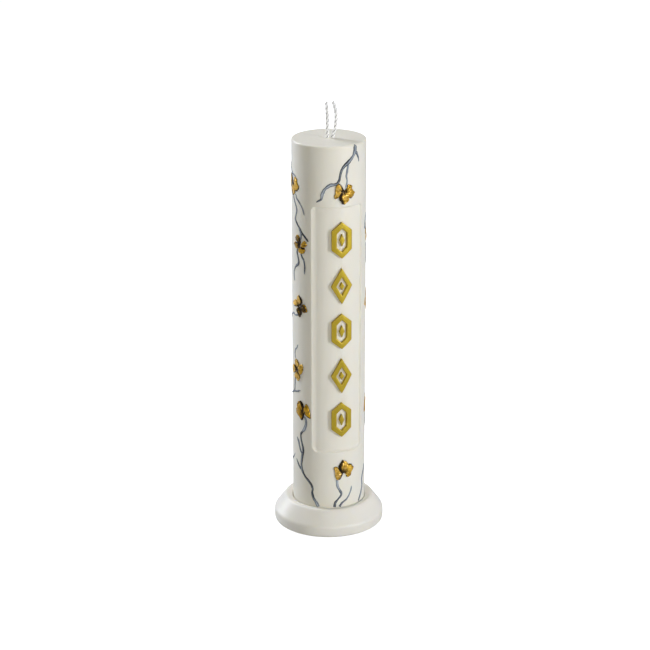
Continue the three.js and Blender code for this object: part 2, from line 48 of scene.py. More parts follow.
FOOT_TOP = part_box("foot")[1].z / MM          # 18
CANDLE_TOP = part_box("candle_body")[1].z / MM   # 274
CANDLE_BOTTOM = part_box("candle_body")[0].z / MM  # 10
R = 25.0
FOOT_R = 38.0
SEAT_R = 25.4
PANEL_DEPTH = 1.2
PANEL_FROM, PANEL_TO, PANEL_LOW, PANEL_HIGH = -28.0, 60.0, 40.0, 215.0
FILLET = 1.15
RIM_FROM = CANDLE_TOP - FOOT_TOP - FILLET
SCENE = bpy.context.scene

# ------------------------------------------------------------------ camera
cam_data = bpy.data.cameras.new("camera")
cam_data.sensor_width = 36.0
cam_data.lens = 2036.7 / 650 * 36.0
cam_data.shift_x = -0.0058
cam_data.shift_y = 0.0008
cam_data.clip_start, cam_data.clip_end = 0.05, 50
camera = bpy.data.objects.new("camera", cam_data)
SCENE.collection.objects.link(camera)
camera.location = (0, -1.3108, 0.5915 + FOOT_TOP * MM)
camera.rotation_euler = (math.radians(90 - 19.6324), 0, 0)
SCENE.camera = camera


# ------------------------------------------------------------------ small tools
def lin(r, g, b):
    """sRGB 0-255 to linear RGBA."""
    out = []
    for c in (r, g, b):
        c /= 255
        out.append(c / 12.92 if c <= 0.04045 else ((c + 0.055) / 1.055) ** 2.4)
    return (*out, 1.0)


def wrap(x, z, r, centre=0.0):
    """Millimetres round the candle from an angle, height above the foot, radius: a point in metres."""
    a = centre * DEG + x / R
    if z > RIM_FROM and abs(r - R) < 1.5:
        up = min((z - RIM_FROM) / FILLET, 1.5)
        r, z = R - FILLET + (FILLET + r - R) * math.cos(up), RIM_FROM + (FILLET + r - R) * math.sin(up)
    return (r * math.sin(a) * MM, -r * math.cos(a) * MM, (FOOT_TOP + z) * MM)


def spot(deg, z, r):
    """A point at an angle, height above the foot and radius, in metres."""
    return (r * math.sin(deg * DEG) * MM, -r * math.cos(deg * DEG) * MM, (FOOT_TOP + z) * MM)


def catmull(points, closed=False, per=14):
    """Centripetal Catmull-Rom curve through points of any dimension."""
    p = [np.array(q, float) for q in points]
    if closed:
        p = [p[-1], *p, p[0], p[1]]
    else:
        p = [2 * p[0] - p[1], *p, 2 * p[-1] - p[-2]]
    out = []
    for i in range(1, len(p) - 2):
        p0, p1, p2, p3 = p[i - 1], p[i], p[i + 1], p[i + 2]
        t = [0.0]
        for a, b in ((p0, p1), (p1, p2), (p2, p3)):
            t.append(t[-1] + max(np.linalg.norm((b - a)[:2]), 1e-6) ** 0.5)
        for k in range(per):
            u = t[1] + (t[2] - t[1]) * k / per
            a1 = (t[1] - u) / (t[1] - t[0]) * p0 + (u - t[0]) / (t[1] - t[0]) * p1
            a2 = (t[2] - u) / (t[2] - t[1]) * p1 + (u - t[1]) / (t[2] - t[1]) * p2
            a3 = (t[3] - u) / (t[3] - t[2]) * p2 + (u - t[2]) / (t[3] - t[2]) * p3
            b1 = (t[2] - u) / (t[2] - t[0]) * a1 + (u - t[0]) / (t[2] - t[0]) * a2
            b2 = (t[3] - u) / (t[3] - t[1]) * a2 + (u - t[1]) / (t[3] - t[1]) * a3
            out.append((t[2] - u) / (t[2] - t[1]) * b1 + (u - t[1]) / (t[2] - t[1]) * b2)
    if not closed:
        out.append(p[-2])
    return np.array(out)


def spaced(curve, n, closed=False):
    """The curve at n evenly spaced points."""
    c = np.vstack([curve, curve[:1]]) if closed else curve
    s = np.concatenate([[0], np.cumsum(np.linalg.norm(np.diff(c[:, :2], axis=0), axis=1))])
    t = np.linspace(0, s[-1], n, endpoint=not closed)
    return np.stack([np.interp(t, s, c[:, k]) for k in range(c.shape[1])], 1), s[-1]


class Build:
    """A mesh put together from rings of points, with named values at its points."""

    def __init__(self):
        self.v, self.f, self.tags = [], [], {}

    def add(self, points, **tags):
        first = len(self.v)
        self.v += [tuple(p) for p in points]
        for k, value in tags.items():
            col = self.tags.setdefault(k, {})
            for i in range(len(points)):
                col[first + i] = value[i] if hasattr(value, "__len__") else value
        return list(range(first, len(self.v)))

    def bridge(self, a, b, closed=True):
        n = len(a)
        for i in range(n if closed else n - 1):
            j = (i + 1) % n
            self.f.append((a[i], a[j], b[j], b[i]))

    def fan(self, ring, centre, **tags):
        c = self.add([centre], **tags)[0]
        for i in range(len(ring)):
            self.f.append((ring[i], ring[(i + 1) % len(ring)], c))

    def cap(self, outer, holes, inside, height):
        """Fills a flat region between an outer ring and hole rings, all in metres. inside are extra (x, y) points; height gives z."""
        ids = list(outer) + [i for h in holes for i in h]
        pts = [Vector(self.v[i][:2]) for i in ids]
        edges, at = [], 0
        for ring in (outer, *holes):
            n = len(ring)
            edges += [(at + i, at + (i + 1) % n) for i in range(n)]
            at += n
        new = self.add([(x, y, height(x, y)) for x, y in inside])
        pts += [Vector(p) for p in inside]
        ids += new
        vs, _, fs, orig, _, _ = geometry.delaunay_2d_cdt(pts, edges, [], 0, 1e-9)
        back = [ids[o[0]] for o in orig]
        rings = [np.array([self.v[i][:2] for i in ring]) for ring in (outer, *holes)]
        for f in fs:
            c = np.mean([vs[i] for i in f], axis=0)
            if within(c, rings[0]) and not any(within(c, h) for h in rings[1:]):
                self.f.append(tuple(back[i] for i in f))

    def object(self, name, material, slot, body, nodes, sharp=38, smooth=True):
        me = bpy.data.meshes.new(name)
        me.from_pydata(self.v, [], self.f)
        for k, col in self.tags.items():
            at = me.attributes.new(k, "FLOAT", "POINT")
            values = np.zeros(len(self.v), np.float32)
            for i, value in col.items():
                values[i] = value
            at.data.foreach_set("value", values)
        bm = bmesh.new()
        bm.from_mesh(me)
        bmesh.ops.remove_doubles(bm, verts=bm.verts, dist=1e-8)
        bmesh.ops.recalc_face_normals(bm, faces=bm.faces)
        if bm.calc_volume(signed=True) < 0:
            bmesh.ops.reverse_faces(bm, faces=bm.faces)
        bm.to_mesh(me)
        bm.free()
        if smooth:
            me.shade_smooth()
            me.set_sharp_from_angle(angle=sharp * DEG)
        me.materials.append(material)
        ob = bpy.data.objects.new(name, me)
        SCENE.collection.objects.link(ob)
        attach(ob, body)
        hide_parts(*nodes)
        return ob


def within(p, ring):
    x, y = p[0], p[1]
    xs, ys = ring[:, 0], ring[:, 1]
    xj, yj = np.roll(xs, -1), np.roll(ys, -1)
    cross = (ys > y) != (yj > y)
    with np.errstate(divide="ignore", invalid="ignore"):
        at = (xj - xs) * (y - ys) / (yj - ys) + xs
    return bool(np.count_nonzero(cross & (x < at)) % 2)


def circle(cx, cy, r, n, z, phase=0.0):
    return [((cx + r * math.cos(phase + 2 * math.pi * i / n)) * MM, (cy + r * math.sin(phase + 2 * math.pi * i / n)) * MM, z * MM) for i in range(n)]


def arc(cr, cz, r, a0, a1, steps):
    return [(cr + r * math.cos((a0 + (a1 - a0) * i / steps) * DEG), cz + r * math.sin((a0 + (a1 - a0) * i / steps) * DEG)) for i in range(steps + 1)]


# ------------------------------------------------------------------ materials
class Mat:
    """A node material with a Principled shader and short helpers."""

    def __init__(self, name, base, **sockets):
        self.m = bpy.data.materials.new(name)
        self.m.use_nodes = True
        self.t = self.m.node_tree
        self.n = self.t.nodes
        self.p = self.n["Principled BSDF"]
        self.p.inputs["Base Color"].default_value = base
        for k, value in sockets.items():
            self.p.inputs[k.replace("_", " ")].default_value = value
        self.coords = None

    def node(self, kind, **props):
        nd = self.n.new(kind)
        for k, value in props.items():
            setattr(nd, k, value)
        return nd

    def link(self, a, b):
        self.t.links.new(a, b)

    def coord(self, scale=(1, 1, 1)):
        if self.coords is None:
            self.coords = self.node("ShaderNodeTexCoord")
        mp = self.node("ShaderNodeMapping")
        mp.inputs["Scale"].default_value = scale
        self.link(self.coords.outputs["Object"], mp.inputs["Vector"])
        return mp.outputs["Vector"]

    def noise(self, scale, detail=3.0, rough=0.5, stretch=(1, 1, 1), distortion=0.0):
        nd = self.node("ShaderNodeTexNoise")
        nd.inputs["Scale"].default_value = scale
        nd.inputs["Detail"].default_value = detail
        nd.inputs["Roughness"].default_value = rough
        nd.inputs["Distortion"].default_value = distortion
        self.link(self.coord(stretch), nd.inputs["Vector"])
        return nd.outputs["Fac"]

    def attr(self, name):
        nd = self.node("ShaderNodeAttribute", attribute_name=name, attribute_type="GEOMETRY")
        return nd.outputs["Fac"]

    def ramp(self, fac, stops, mode="LINEAR"):
        nd = self.node("ShaderNodeValToRGB")
        nd.color_ramp.interpolation = mode
        el = nd.color_ramp.elements
        while len(el) > 1:
            el.remove(el[-1])
        for i, (pos, col) in enumerate(stops):
            e = el[0] if i == 0 else el.new(pos)
            e.position = pos
            e.color = col if hasattr(col, "__len__") else (col, col, col, 1)
        self.link(fac, nd.inputs["Fac"])
        return nd.outputs["Color"]

    def mix(self, fac, a, b, blend="MIX"):
        nd = self.node("ShaderNodeMix", data_type="RGBA", blend_type=blend)
        for sock, value in ((nd.inputs[0], fac), (nd.inputs[6], a), (nd.inputs[7], b)):
            if isinstance(value, bpy.types.NodeSocket):
                self.link(value, sock)
            else:
                sock.default_value = value
        return nd.outputs[2]

    def math(self, op, a, b=0.5, clamp=False):
        nd = self.node("ShaderNodeMath", operation=op, use_clamp=clamp)
        for sock, value in ((nd.inputs[0], a), (nd.inputs[1], b)):
            if isinstance(value, bpy.types.NodeSocket):
                self.link(value, sock)
            else:
                sock.default_value = value
        return nd.outputs[0]

    def span(self, value, lo, hi):
        nd = self.node("ShaderNodeMapRange")
        self.link(value, nd.inputs["Value"])
        nd.inputs["To Min"].default_value = lo
        nd.inputs["To Max"].default_value = hi
        return nd.outputs["Result"]

    def bump(self, height, strength, distance, under=None):
        nd = self.node("ShaderNodeBump")
        nd.inputs["Strength"].default_value = strength
        nd.inputs["Distance"].default_value = distance
        self.link(height, nd.inputs["Height"])
        if under is not None:
            self.link(under, nd.inputs["Normal"])
        return nd.outputs["Normal"]

    def out(self, socket, value):
        self.link(value, self.p.inputs[socket])


def wax(name, light, dark, rough):
    m = Mat(name, light, IOR=1.44)
    m.p.inputs["Subsurface Weight"].default_value = 0.25
    m.p.inputs["Subsurface Radius"].default_value = (1.0, 0.82, 0.55)
    m.p.inputs["Subsurface Scale"].default_value = 0.0012
    cloud = m.noise(55, 4, 0.55, (1, 1, 0.45))
    grain = m.noise(900, 2, 0.6)
    col = m.mix(m.span(cloud, 0.0, 1.0), dark, light)
    m.out("Base Color", m.mix(m.ramp(grain, [(0.0, 0.0), (0.62, 0.0), (0.8, 0.16)]), col, dark))
    m.out("Roughness", m.math("ADD", m.span(m.noise(140, 4, 0.6, (1, 1, 0.5)), rough - 0.05, rough + 0.05), m.span(grain, -0.02, 0.02)))
    soft = m.bump(m.noise(70, 3, 0.5, (1, 1, 0.35)), 0.10, 0.0012)
    m.out("Normal", m.bump(m.noise(1500, 3, 0.6), 0.05, 0.00012, soft))
    return m.m


WAX = wax("ivory_wax", lin(239, 236, 225), lin(232, 228, 214), 0.34)
FOOT_WAX = wax("foot_ivory_wax", lin(239, 236, 228), lin(232, 229, 218), 0.42)


def gilt_flower():
    m = Mat("flower_gold_paint", lin(214, 160, 30), Metallic=0.66)
    m.p.inputs["Coat Weight"].default_value = 0.05
    m.p.inputs["Coat Roughness"].default_value = 0.2
    fold = m.attr("fold")
    flakes = m.noise(900, 3, 0.65)
    patch = m.noise(260, 3, 0.55)
    gold = m.mix(m.ramp(patch, [(0.35, 0.0), (0.65, 1.0)]), lin(180, 132, 2), lin(218, 168, 12))
    # painted highlight: the gold turns pale peach where the painted highlight attribute is high
    gold = m.mix(m.math("MULTIPLY", m.attr("tint"), 0.75), gold, lin(255, 214, 124))
    # painted shade colour: dark brown, flecked
    deep = m.mix(m.ramp(flakes, [(0.4, 0.0), (0.6, 1.0)]), lin(62, 42, 0), lin(22, 15, 0))
    # painted crease shade: low, creased parts of the petals take the painted shade colour, raised parts keep the gold
    painted_lit = m.ramp(m.math("ADD", fold, m.math("MULTIPLY", m.math("SUBTRACT", flakes, 0.5), 0.35)), [(0.2, 0.0), (0.58, 1.0)])
    # painted dark reflection: petal flanks and middles take the brown painted shade colour where the painted shading
    # attribute is high, broken up by the patch noise
    free_of_painted_shade = m.ramp(m.math("ADD", m.attr("wash"), m.math("MULTIPLY", m.math("SUBTRACT", patch, 0.5), 0.35)), [(0.22, 1.0), (0.72, 0.0)])
    m.out("Base Color", m.mix(m.math("MULTIPLY", painted_lit, free_of_painted_shade), deep, gold))
    m.out("Roughness", m.span(m.noise(420, 3, 0.6), 0.22, 0.40))
    hammered = m.bump(m.noise(420, 3, 0.55, (1, 1, 1), 0.6), 0.22, 0.0003)
    m.out("Normal", m.bump(m.noise(1400, 2, 0.6), 0.12, 0.00008, hammered))
    return m.m


def gilt_ornament():
    m = Mat("ornament_gold_leaf", lin(190, 165, 62), Metallic=0.85)
    worn = m.attr("edge")
    leaf = m.noise(330, 5, 0.62, (1, 1, 0.6), 0.8)
    speck = m.noise(1500, 2, 0.7)
    base = m.mix(m.span(leaf, 0, 1), lin(174, 148, 14), lin(202, 178, 62))
    base = m.mix(m.ramp(speck, [(0.0, 0.0), (0.64, 0.0), (0.74, 0.55)]), base, lin(226, 206, 126))
    base = m.mix(m.math("MULTIPLY", worn, 0.35), base, lin(214, 190, 104))
    m.out("Base Color", base)
    m.out("Roughness", m.span(m.noise(500, 4, 0.6), 0.40, 0.58))
    wrinkles = m.bump(m.noise(480, 4, 0.6, (1, 1, 0.5), 1.2), 0.22, 0.00018)
    m.out("Normal", m.bump(speck, 0.10, 0.00006, wrinkles))
    return m.m


def twig_paint():
    m = Mat("slate_twig_paint", lin(80, 94, 108))
    across = m.attr("across")
    tone = m.ramp(m.attr("tone"), [(0.12, 0.0), (0.88, 1.0)])
    streak = m.noise(520, 4, 0.65, (1, 1, 0.35), 0.4)
    fleck = m.noise(1300, 3, 0.6)
    dark = m.mix(tone, lin(146, 156, 168), lin(12, 22, 34))
    pale = m.mix(tone, lin(200, 205, 212), lin(180, 192, 202))
    worn = m.math("ADD", across, m.math("MULTIPLY", m.math("SUBTRACT", streak, 0.5), 1.1))
    core = m.math("MULTIPLY", m.ramp(worn, [(0.14, 1.0), (0.44, 0.0)]), m.math("MULTIPLY", m.attr("hollow"), m.math("SUBTRACT", 1.0, m.math("MULTIPLY", tone, 0.42))))
    col = m.mix(core, dark, pale)
    m.out("Base Color", m.mix(m.ramp(fleck, [(0.0, 0.0), (0.62, 0.0), (0.78, 0.3)]), col, pale))
    m.out("Roughness", m.span(streak, 0.48, 0.66))
    m.out("Normal", m.bump(m.noise(900, 4, 0.65, (1, 1, 0.3)), 0.4, 0.00018))
    return m.m


def cotton():
    m = Mat("twisted_cotton", lin(246, 245, 241), Roughness=0.86)
    m.p.inputs["Sheen Weight"].default_value = 0.35
    m.p.inputs["Sheen Roughness"].default_value = 0.5
    m.p.inputs["Subsurface Weight"].default_value = 0.12
    m.p.inputs["Subsurface Radius"].default_value = (1, 0.95, 0.85)
    m.p.inputs["Subsurface Scale"].default_value = 0.0006
    groove = m.attr("groove")
    fibre = m.noise(2600, 3, 0.6, (1, 1, 0.4))
    # painted crevice shade: dark grey where the plies turn in towards the wick's middle, white on their outer crowns,
    # on the loose ends and towards the tip
    col = m.mix(m.ramp(groove, [(0.34, 1.0), (0.66, 0.0)]), lin(255, 255, 254), lin(72, 72, 78))
    m.out("Base Color", m.mix(m.ramp(fibre, [(0.45, 0.0), (0.75, 0.25)]), col, lin(206, 205, 202)))
    m.out("Normal", m.bump(fibre, 0.5, 0.00012))
    return m.m


def steel():
    m = Mat("tinned_steel", lin(188, 190, 194), Metallic=1.0)
    brushed = m.noise(800, 4, 0.6, (1, 0.08, 1))
    m.out("Base Color", m.mix(m.span(m.noise(200, 3, 0.5), 0, 1), lin(170, 172, 176), lin(205, 207, 210)))
    m.out("Roughness", m.span(brushed, 0.22, 0.38))
    m.out("Normal", m.bump(brushed, 0.15, 0.00005))
    return m.m


FLOWER_GOLD, ORNAMENT_GOLD, SLATE, COTTON, STEEL = gilt_flower(), gilt_ornament(), twig_paint(), cotton(), steel()


# ------------------------------------------------------------------ the foot
def lathe(profile, sides, wobble=0.0):
    b = Build()
    rings = []
    for r, z in profile:
        pts = []
        for i in range(sides):
            a = 2 * math.pi * i / sides
            d = wobble * noise.noise(Vector((math.cos(a) * 1.7, math.sin(a) * 1.7, z * 0.12))) if r > 26 else 0
            pts.append(((r + d) * math.cos(a) * MM, (r + d) * math.sin(a) * MM, z * MM))
        rings.append(b.add(pts))
    for a, c in zip(rings, rings[1:]):
        b.bridge(a, c)
    return b, rings


def rounded(points, radii, steps=7):
    """A profile with its corners rounded: radii lists one value per point, 0 for a sharp one."""
    out = []
    for i, (p, r) in enumerate(zip(points, radii)):
        if r <= 0 or i in (0, len(points) - 1):
            out.append(p)
            continue
        p, a, c = np.array(p, float), np.array(points[i - 1], float), np.array(points[i + 1], float)
        u, w = (a - p) / np.linalg.norm(a - p), (c - p) / np.linalg.norm(c - p)
        half = math.acos(max(-1, min(1, float(u @ w)))) / 2
        d = min(r / math.tan(half), 0.49 * np.linalg.norm(a - p), 0.49 * np.linalg.norm(c - p))
        s, e = p + u * d, p + w * d
        for k in range(steps + 1):
            t = k / steps
            out.append(tuple((1 - t) ** 2 * s + 2 * t * (1 - t) * p + t * t * e))
    return out


def dense(profile, step):
    out = [profile[0]]
    for p, q in zip(profile, profile[1:]):
        n = max(1, int(math.hypot(q[0] - p[0], q[1] - p[1]) / step))
        out += [(p[0] + (q[0] - p[0]) * k / n, p[1] + (q[1] - p[1]) * k / n) for k in range(1, n + 1)]
    return out


foot_profile = rounded(
    [(0.6, 0.35), (33.0, 0.35), (33.4, 0.0), (37.95, 0.0), (38.0, 7.6), (30.0, 18.03), (25.75, 16.9), (25.3, 16.4), (25.4, 15.0), (25.4, 10.0), (0.6, 10.0)],
    [0, 0.2, 0.2, 1.8, 4.2, 2.6, 0.25, 0.2, 0.3, 0.6, 0],
)
b, rings = lathe(dense(foot_profile, 0.9), 240, wobble=0.05)
b.fan(rings[0], (0, 0, 0.35 * MM))
b.fan(rings[-1], (0, 0, 10.0 * MM))
b.object("foot.cast", FOOT_WAX, "foot_wax", "holder", ["foot"])


# ------------------------------------------------------------------ the candle
WICKS = [(-1.0, 0.0), (2.45, 0.0)]
BORE = 1.3


def panel_depth(deg, z):
    """How far the panel's surface lies under the candle's wall."""
    mid, half = (PANEL_FROM + PANEL_TO) / 2, (PANEL_TO - PANEL_FROM) / 2 * DEG * R
    x, y = (deg - mid) * DEG * R, z - (PANEL_LOW + PANEL_HIGH) / 2
    hy = (PANEL_HIGH - PANEL_LOW) / 2
    rad = 3.2 if y > 0 else 4.6
    qx, qy = abs(x) - (half - rad), abs(y) - (hy - rad)
    if qx > rad or qy > rad:
        return 0.0
    if qx > 0 and qy > 0:
        d = rad - math.hypot(qx, qy)
        gx = qx / math.hypot(qx, qy)
    elif qx > qy:
        d, gx = rad - qx, 1.0
    else:
        d, gx = rad - qy, 0.0
    if d <= 0:
        return 0.0
    width = (4.2 if x < 0 else 0.9) * gx * gx + 1.5 * (1 - gx * gx)
    t = min(d / width, 1.0)
    lip = 0.10
    s = 1 - (1 - t) ** (2.1 if x < 0 else 2.1 + 0.9 * gx)
    if t < lip:
        s *= (t / lip) ** 0.8
    return PANEL_DEPTH * s


def wall_radius(deg, z):
    a = deg * DEG
    n = noise.noise(Vector((math.sin(a) * 1.3, -math.cos(a) * 1.3, z * 0.018)))
    m = noise.noise(Vector((math.sin(a) * 4.0 + 7, -math.cos(a) * 4.0, z * 0.05)))
    return R - 0.02 + 0.035 * n + 0.012 * m - panel_depth(deg, z)


def spread_lines(spans, lo, hi, closed=False):
    """Grid lines from lo to hi: spans are (from, to, step) where the grid is finer, and the last entry is the plain step."""
    plain = spans[-1]
    out, at = [], lo
    while at < hi - 1e-9:
        out.append(at)
        step = plain
        for f, t, s in spans[:-1]:
            if f - 1e-9 <= at < t - 1e-9:
                step = s
        nxt = at + step
        for f, t, s in spans[:-1]:
            if at < f - 1e-9 < nxt:
                nxt = f
        at = nxt
    if not closed:
        out.append(hi)
    return out


CREASE = [(-15.9, 13.2), (-12.4, 11.0), (-9.3, 8.35), (-5.6, 3.5), (-2.4, 0.4)]
RIPPLES = [
    ([(-6.5, -4.2), (-2.5, -5.6), (2.5, -5.2), (6.5, -3.6)], 0.05),
    ([(-8.5, -7.6), (-3, -9.3), (3.5, -8.6), (8.0, -6.4)], 0.035),
    ([(6.0, 1.2), (11.0, 3.4), (16.5, 4.2)], -0.05),
    ([(5.0, 4.4), (10.5, 7.6), (15.5, 9.6)], -0.045),
]


def from_line(x, y, line):
    """Distance to a run of straight pieces, and which side of it the point is on."""
    best, side = 1e9, 1
    for (ax, ay), (bx, by) in zip(line, line[1:]):
        ux, uy = bx - ax, by - ay
        t = max(0.0, min(1.0, ((x - ax) * ux + (y - ay) * uy) / (ux * ux + uy * uy)))
        d = math.hypot(x - ax - t * ux, y - ay - t * uy)
        if d < best:
            best, side = d, (1 if ux * (y - ay) - uy * (x - ax) > 0 else -1)
    return best, side


def top_height(x, y):
    """Millimetres above the candle's top plane: a shallow pool, a soft ripple and a collar of wax round each wick."""
    r = math.hypot(x, y)
    h = -0.26 * math.exp(-((x - 0.7) ** 2 + y * y) / 60) - 0.05 * (1 - (r / 24) ** 2)
    h += 0.045 * noise.noise(Vector((x * 0.16, y * 0.16, 3.1))) + 0.03 * math.sin(r * 1.15 + 0.6) * math.exp(-r / 14)
    for wx, wy in WICKS:
        d = math.hypot(x - wx, y - wy)
        h += 0.5 * math.exp(-max(0, d - 1.15) / 0.42)
    d, side = from_line(x, y, CREASE)
    h += -0.17 * math.exp(-(d / 0.28) ** 2) + 0.07 * side * math.exp(-d / 3.0)
    for line, deep in RIPPLES:
        d, side = from_line(x, y, line)
        h += deep * math.exp(-(d / 0.55) ** 2)
    return h


b = Build()
theta = spread_lines([(-31, -19, 0.6), (52, 62, 0.45), 1.8], -180, 180, closed=True)
heights = spread_lines([(36, 46, 0.25), (209, 218, 0.25), 1.9], CANDLE_BOTTOM - FOOT_TOP + 0.6, CANDLE_TOP - FOOT_TOP - 1.2)
grid = []
for z in heights:
    grid.append(b.add([wrap(0, z, wall_radius(d, z), d) for d in theta]))
for a, c in zip(grid, grid[1:]):
    b.bridge(a, c)
top_z = CANDLE_TOP - FOOT_TOP
last = grid[-1]
fillet = FILLET
for k in range(1, 9):
    a = k / 8 * 90 * DEG
    edge_r = [wall_radius(d, top_z - fillet) for d in theta]
    ring = b.add([spot(d, top_z - fillet + fillet * math.sin(a), e - fillet * (1 - math.cos(a))) for e, d in zip(edge_r, theta)])
    b.bridge(last, ring)
    last = ring
for r in (23.2, 22.4, 21.4):
    pts = []
    for d in theta:
        x, y = r * math.sin(d * DEG), -r * math.cos(d * DEG)
        blend = min(1.0, (23.85 - r) / 1.6)
        pts.append((x * MM, y * MM, (CANDLE_TOP + blend * top_height(x, y)) * MM))
    ring = b.add(pts)
    b.bridge(last, ring)
    last = ring
outer_top = last
holes_top = [b.add([(x, y, (CANDLE_TOP + top_height(x / MM, y / MM)) * MM) for x, y, _ in circle(wx, wy, BORE, 28, 0)]) for wx, wy in WICKS]
inside = []
for r in np.arange(0.0, 20.9, 0.9):
    n = max(1, int(2 * math.pi * r / 0.95))
    for i in range(n):
        x, y = 0.72 + r * math.cos(2 * math.pi * i / n + r), r * math.sin(2 * math.pi * i / n + r)
        if math.hypot(x, y) < 20.8 and all(math.hypot(x - wx, y - wy) > BORE + 1.5 for wx, wy in WICKS):
            inside.append((x * MM, y * MM))
for wx, wy in WICKS:
    for k, r in enumerate((0.16, 0.36, 0.62, 0.95, 1.3)):
        for i in range(28):
            x, y = wx + (BORE + r) * math.cos(2 * math.pi * (i + 0.5 * (k % 2)) / 28), wy + (BORE + r) * math.sin(2 * math.pi * (i + 0.5 * (k % 2)) / 28)
            if all(math.hypot(x - vx, y - vy) > BORE + 0.1 for vx, vy in WICKS) and not (abs(x - 0.725) < 0.05 and k > 2):
                inside.append((x * MM, y * MM))
for line in [CREASE] + [q for q, _ in RIPPLES[:2]]:
    run, _ = spaced(catmull(line, per=20), 44)
    away = np.gradient(run, axis=0)
    away /= np.linalg.norm(away, axis=1)[:, None]
    for p, t in zip(run, away):
        for off in (-0.62, -0.3, 0.0, 0.3, 0.62):
            x, y = p[0] - t[1] * off, p[1] + t[0] * off
            if math.hypot(x, y) < 20.8 and all(math.hypot(x - wx, y - wy) > BORE + 1.5 for wx, wy in WICKS):
                inside.append((x * MM, y * MM))
inside = [p for i, p in enumerate(inside) if all(abs(p[0] - q[0]) + abs(p[1] - q[1]) > 0.00022 for q in inside[i + 1:])]
b.cap(outer_top, holes_top, inside, lambda x, y: (CANDLE_TOP + top_height(x / MM, y / MM)) * MM)
# underside: rounded edge, flat ring, the clip's pocket, and the bores
first = grid[0]
for k in range(1, 4):
    a = k / 3 * 90 * DEG
    ring = b.add([wrap(0, CANDLE_BOTTOM - FOOT_TOP + 0.6 - 0.6 * math.sin(a), R - 0.6 * (1 - math.cos(a)), d) for d in theta])
    b.bridge(ring, first)
    first = ring
for r, z in ((16.0, 0.0), (9.6, 0.0), (9.3, 0.25), (9.3, 1.1), (8.6, 1.1)):
    ring = b.add([wrap(0, CANDLE_BOTTOM - FOOT_TOP + z, r, d) for d in theta])
    b.bridge(ring, first)
    first = ring


def slot_ring(r, z, n=12):
    mid, span = (WICKS[0][0] + WICKS[1][0]) / 2, (WICKS[1][0] - WICKS[0][0]) / 2
    pts = []
    for side in (1, -1):
        for i in range(n + 1):
            a = (-90 + 180 * i / n + (0 if side > 0 else 180)) * DEG
            pts.append(((mid + side * span + r * math.cos(a)) * MM, r * math.sin(a) * MM, z * MM))
    return pts


s0 = b.add(slot_ring(2.25, CANDLE_BOTTOM + 1.1))
b.cap(first, [s0], [], lambda x, y: 0)
s1 = b.add(slot_ring(2.25, CANDLE_BOTTOM + 5.6))
b.bridge(s0, s1)
holes_low = [b.add([(x, y, (CANDLE_BOTTOM + 5.6) * MM) for x, y, _ in circle(wx, wy, BORE, 28, 0)]) for wx, wy in WICKS]
b.cap(s1, holes_low, [], lambda x, y: 0)
for lo, hi in zip(holes_low, holes_top):
    b.bridge(lo, hi)
b.object("candle_body.cast", WAX, "candle_wax", "candle", ["candle_body"])


# ------------------------------------------------------------------ the wick clip
b = Build()
CLIP_Z = CANDLE_BOTTOM + 0.3
prof = rounded([(9.0, 0.0), (9.0, 0.5), (7.6, 0.5), (7.2, 0.72), (5.9, 0.72), (5.5, 0.5), (4.9, 0.5)], [0, 0.12, 0.15, 0.15, 0.15, 0.15, 0], 3)
low = rounded([(9.0, 0.0), (7.5, 0.0), (7.1, 0.22), (6.0, 0.22), (5.6, 0.0), (4.9, 0.0)], [0, 0.1, 0.1, 0.1, 0.1, 0], 3)
N = 72
top_rings = [b.add([(r * math.cos(2 * math.pi * i / N) * MM, r * math.sin(2 * math.pi * i / N) * MM, (CLIP_Z + z) * MM) for i in range(N)]) for r, z in prof]
low_rings = [top_rings[0]] + [b.add([(r * math.cos(2 * math.pi * i / N) * MM, r * math.sin(2 * math.pi * i / N) * MM, (CLIP_Z + z) * MM) for i in range(N)]) for r, z in low[1:]]
for a, c in zip(top_rings, top_rings[1:]):
    b.bridge(a, c)
for a, c in zip(low_rings, low_rings[1:]):
    b.bridge(c, a)
rise = [(2.25, 0.5), (1.95, 0.62), (1.88, 1.0)] + [(1.88 + (0.07 * math.sin(k * 1.9) if 1 < k < 7 else 0), 1.0 + k * 0.48) for k in range(1, 9)]
outs = [b.add(slot_ring(r, CLIP_Z + z)) for r, z in rise]
ins = [b.add(slot_ring(r - 0.3, CLIP_Z + z)) for r, z in ([(1.88, 0.0)] + rise[2:])]
b.cap(top_rings[-1], [outs[0]], [], lambda x, y: 0)
b.cap(low_rings[-1], [ins[0]], [], lambda x, y: 0)
for a, c in zip(outs, outs[1:]):
    b.bridge(a, c)
for a, c in zip(ins, ins[1:]):
    b.bridge(c, a)
b.bridge(outs[-1], ins[-1])
b.object("wick_clip.pressed", STEEL, "clip_steel", "candle", ["wick_clip"])


# ------------------------------------------------------------------ the wicks
WICK_PATHS = {
    "wick_left": [(-1.0, 0, -6), (-1.0, 0, -3), (-1.0, 0, 0), (-0.93, 0, 3), (-0.86, 0, 7), (-0.86, 0.05, 11), (-0.9, 0.1, 15), (-1.1, 0.05, 19.5), (-1.45, 0, 23.8)],
    "wick_right": [(2.45, 0, -6), (2.45, 0, -3), (2.5, 0, 0), (3.1, 0, 2.5), (3.9, 0, 5.5), (4.55, 0, 9), (4.85, 0, 13.5), (4.6, 0, 17.5), (3.9, 0, 21), (2.8, 0, 24.3)],
}


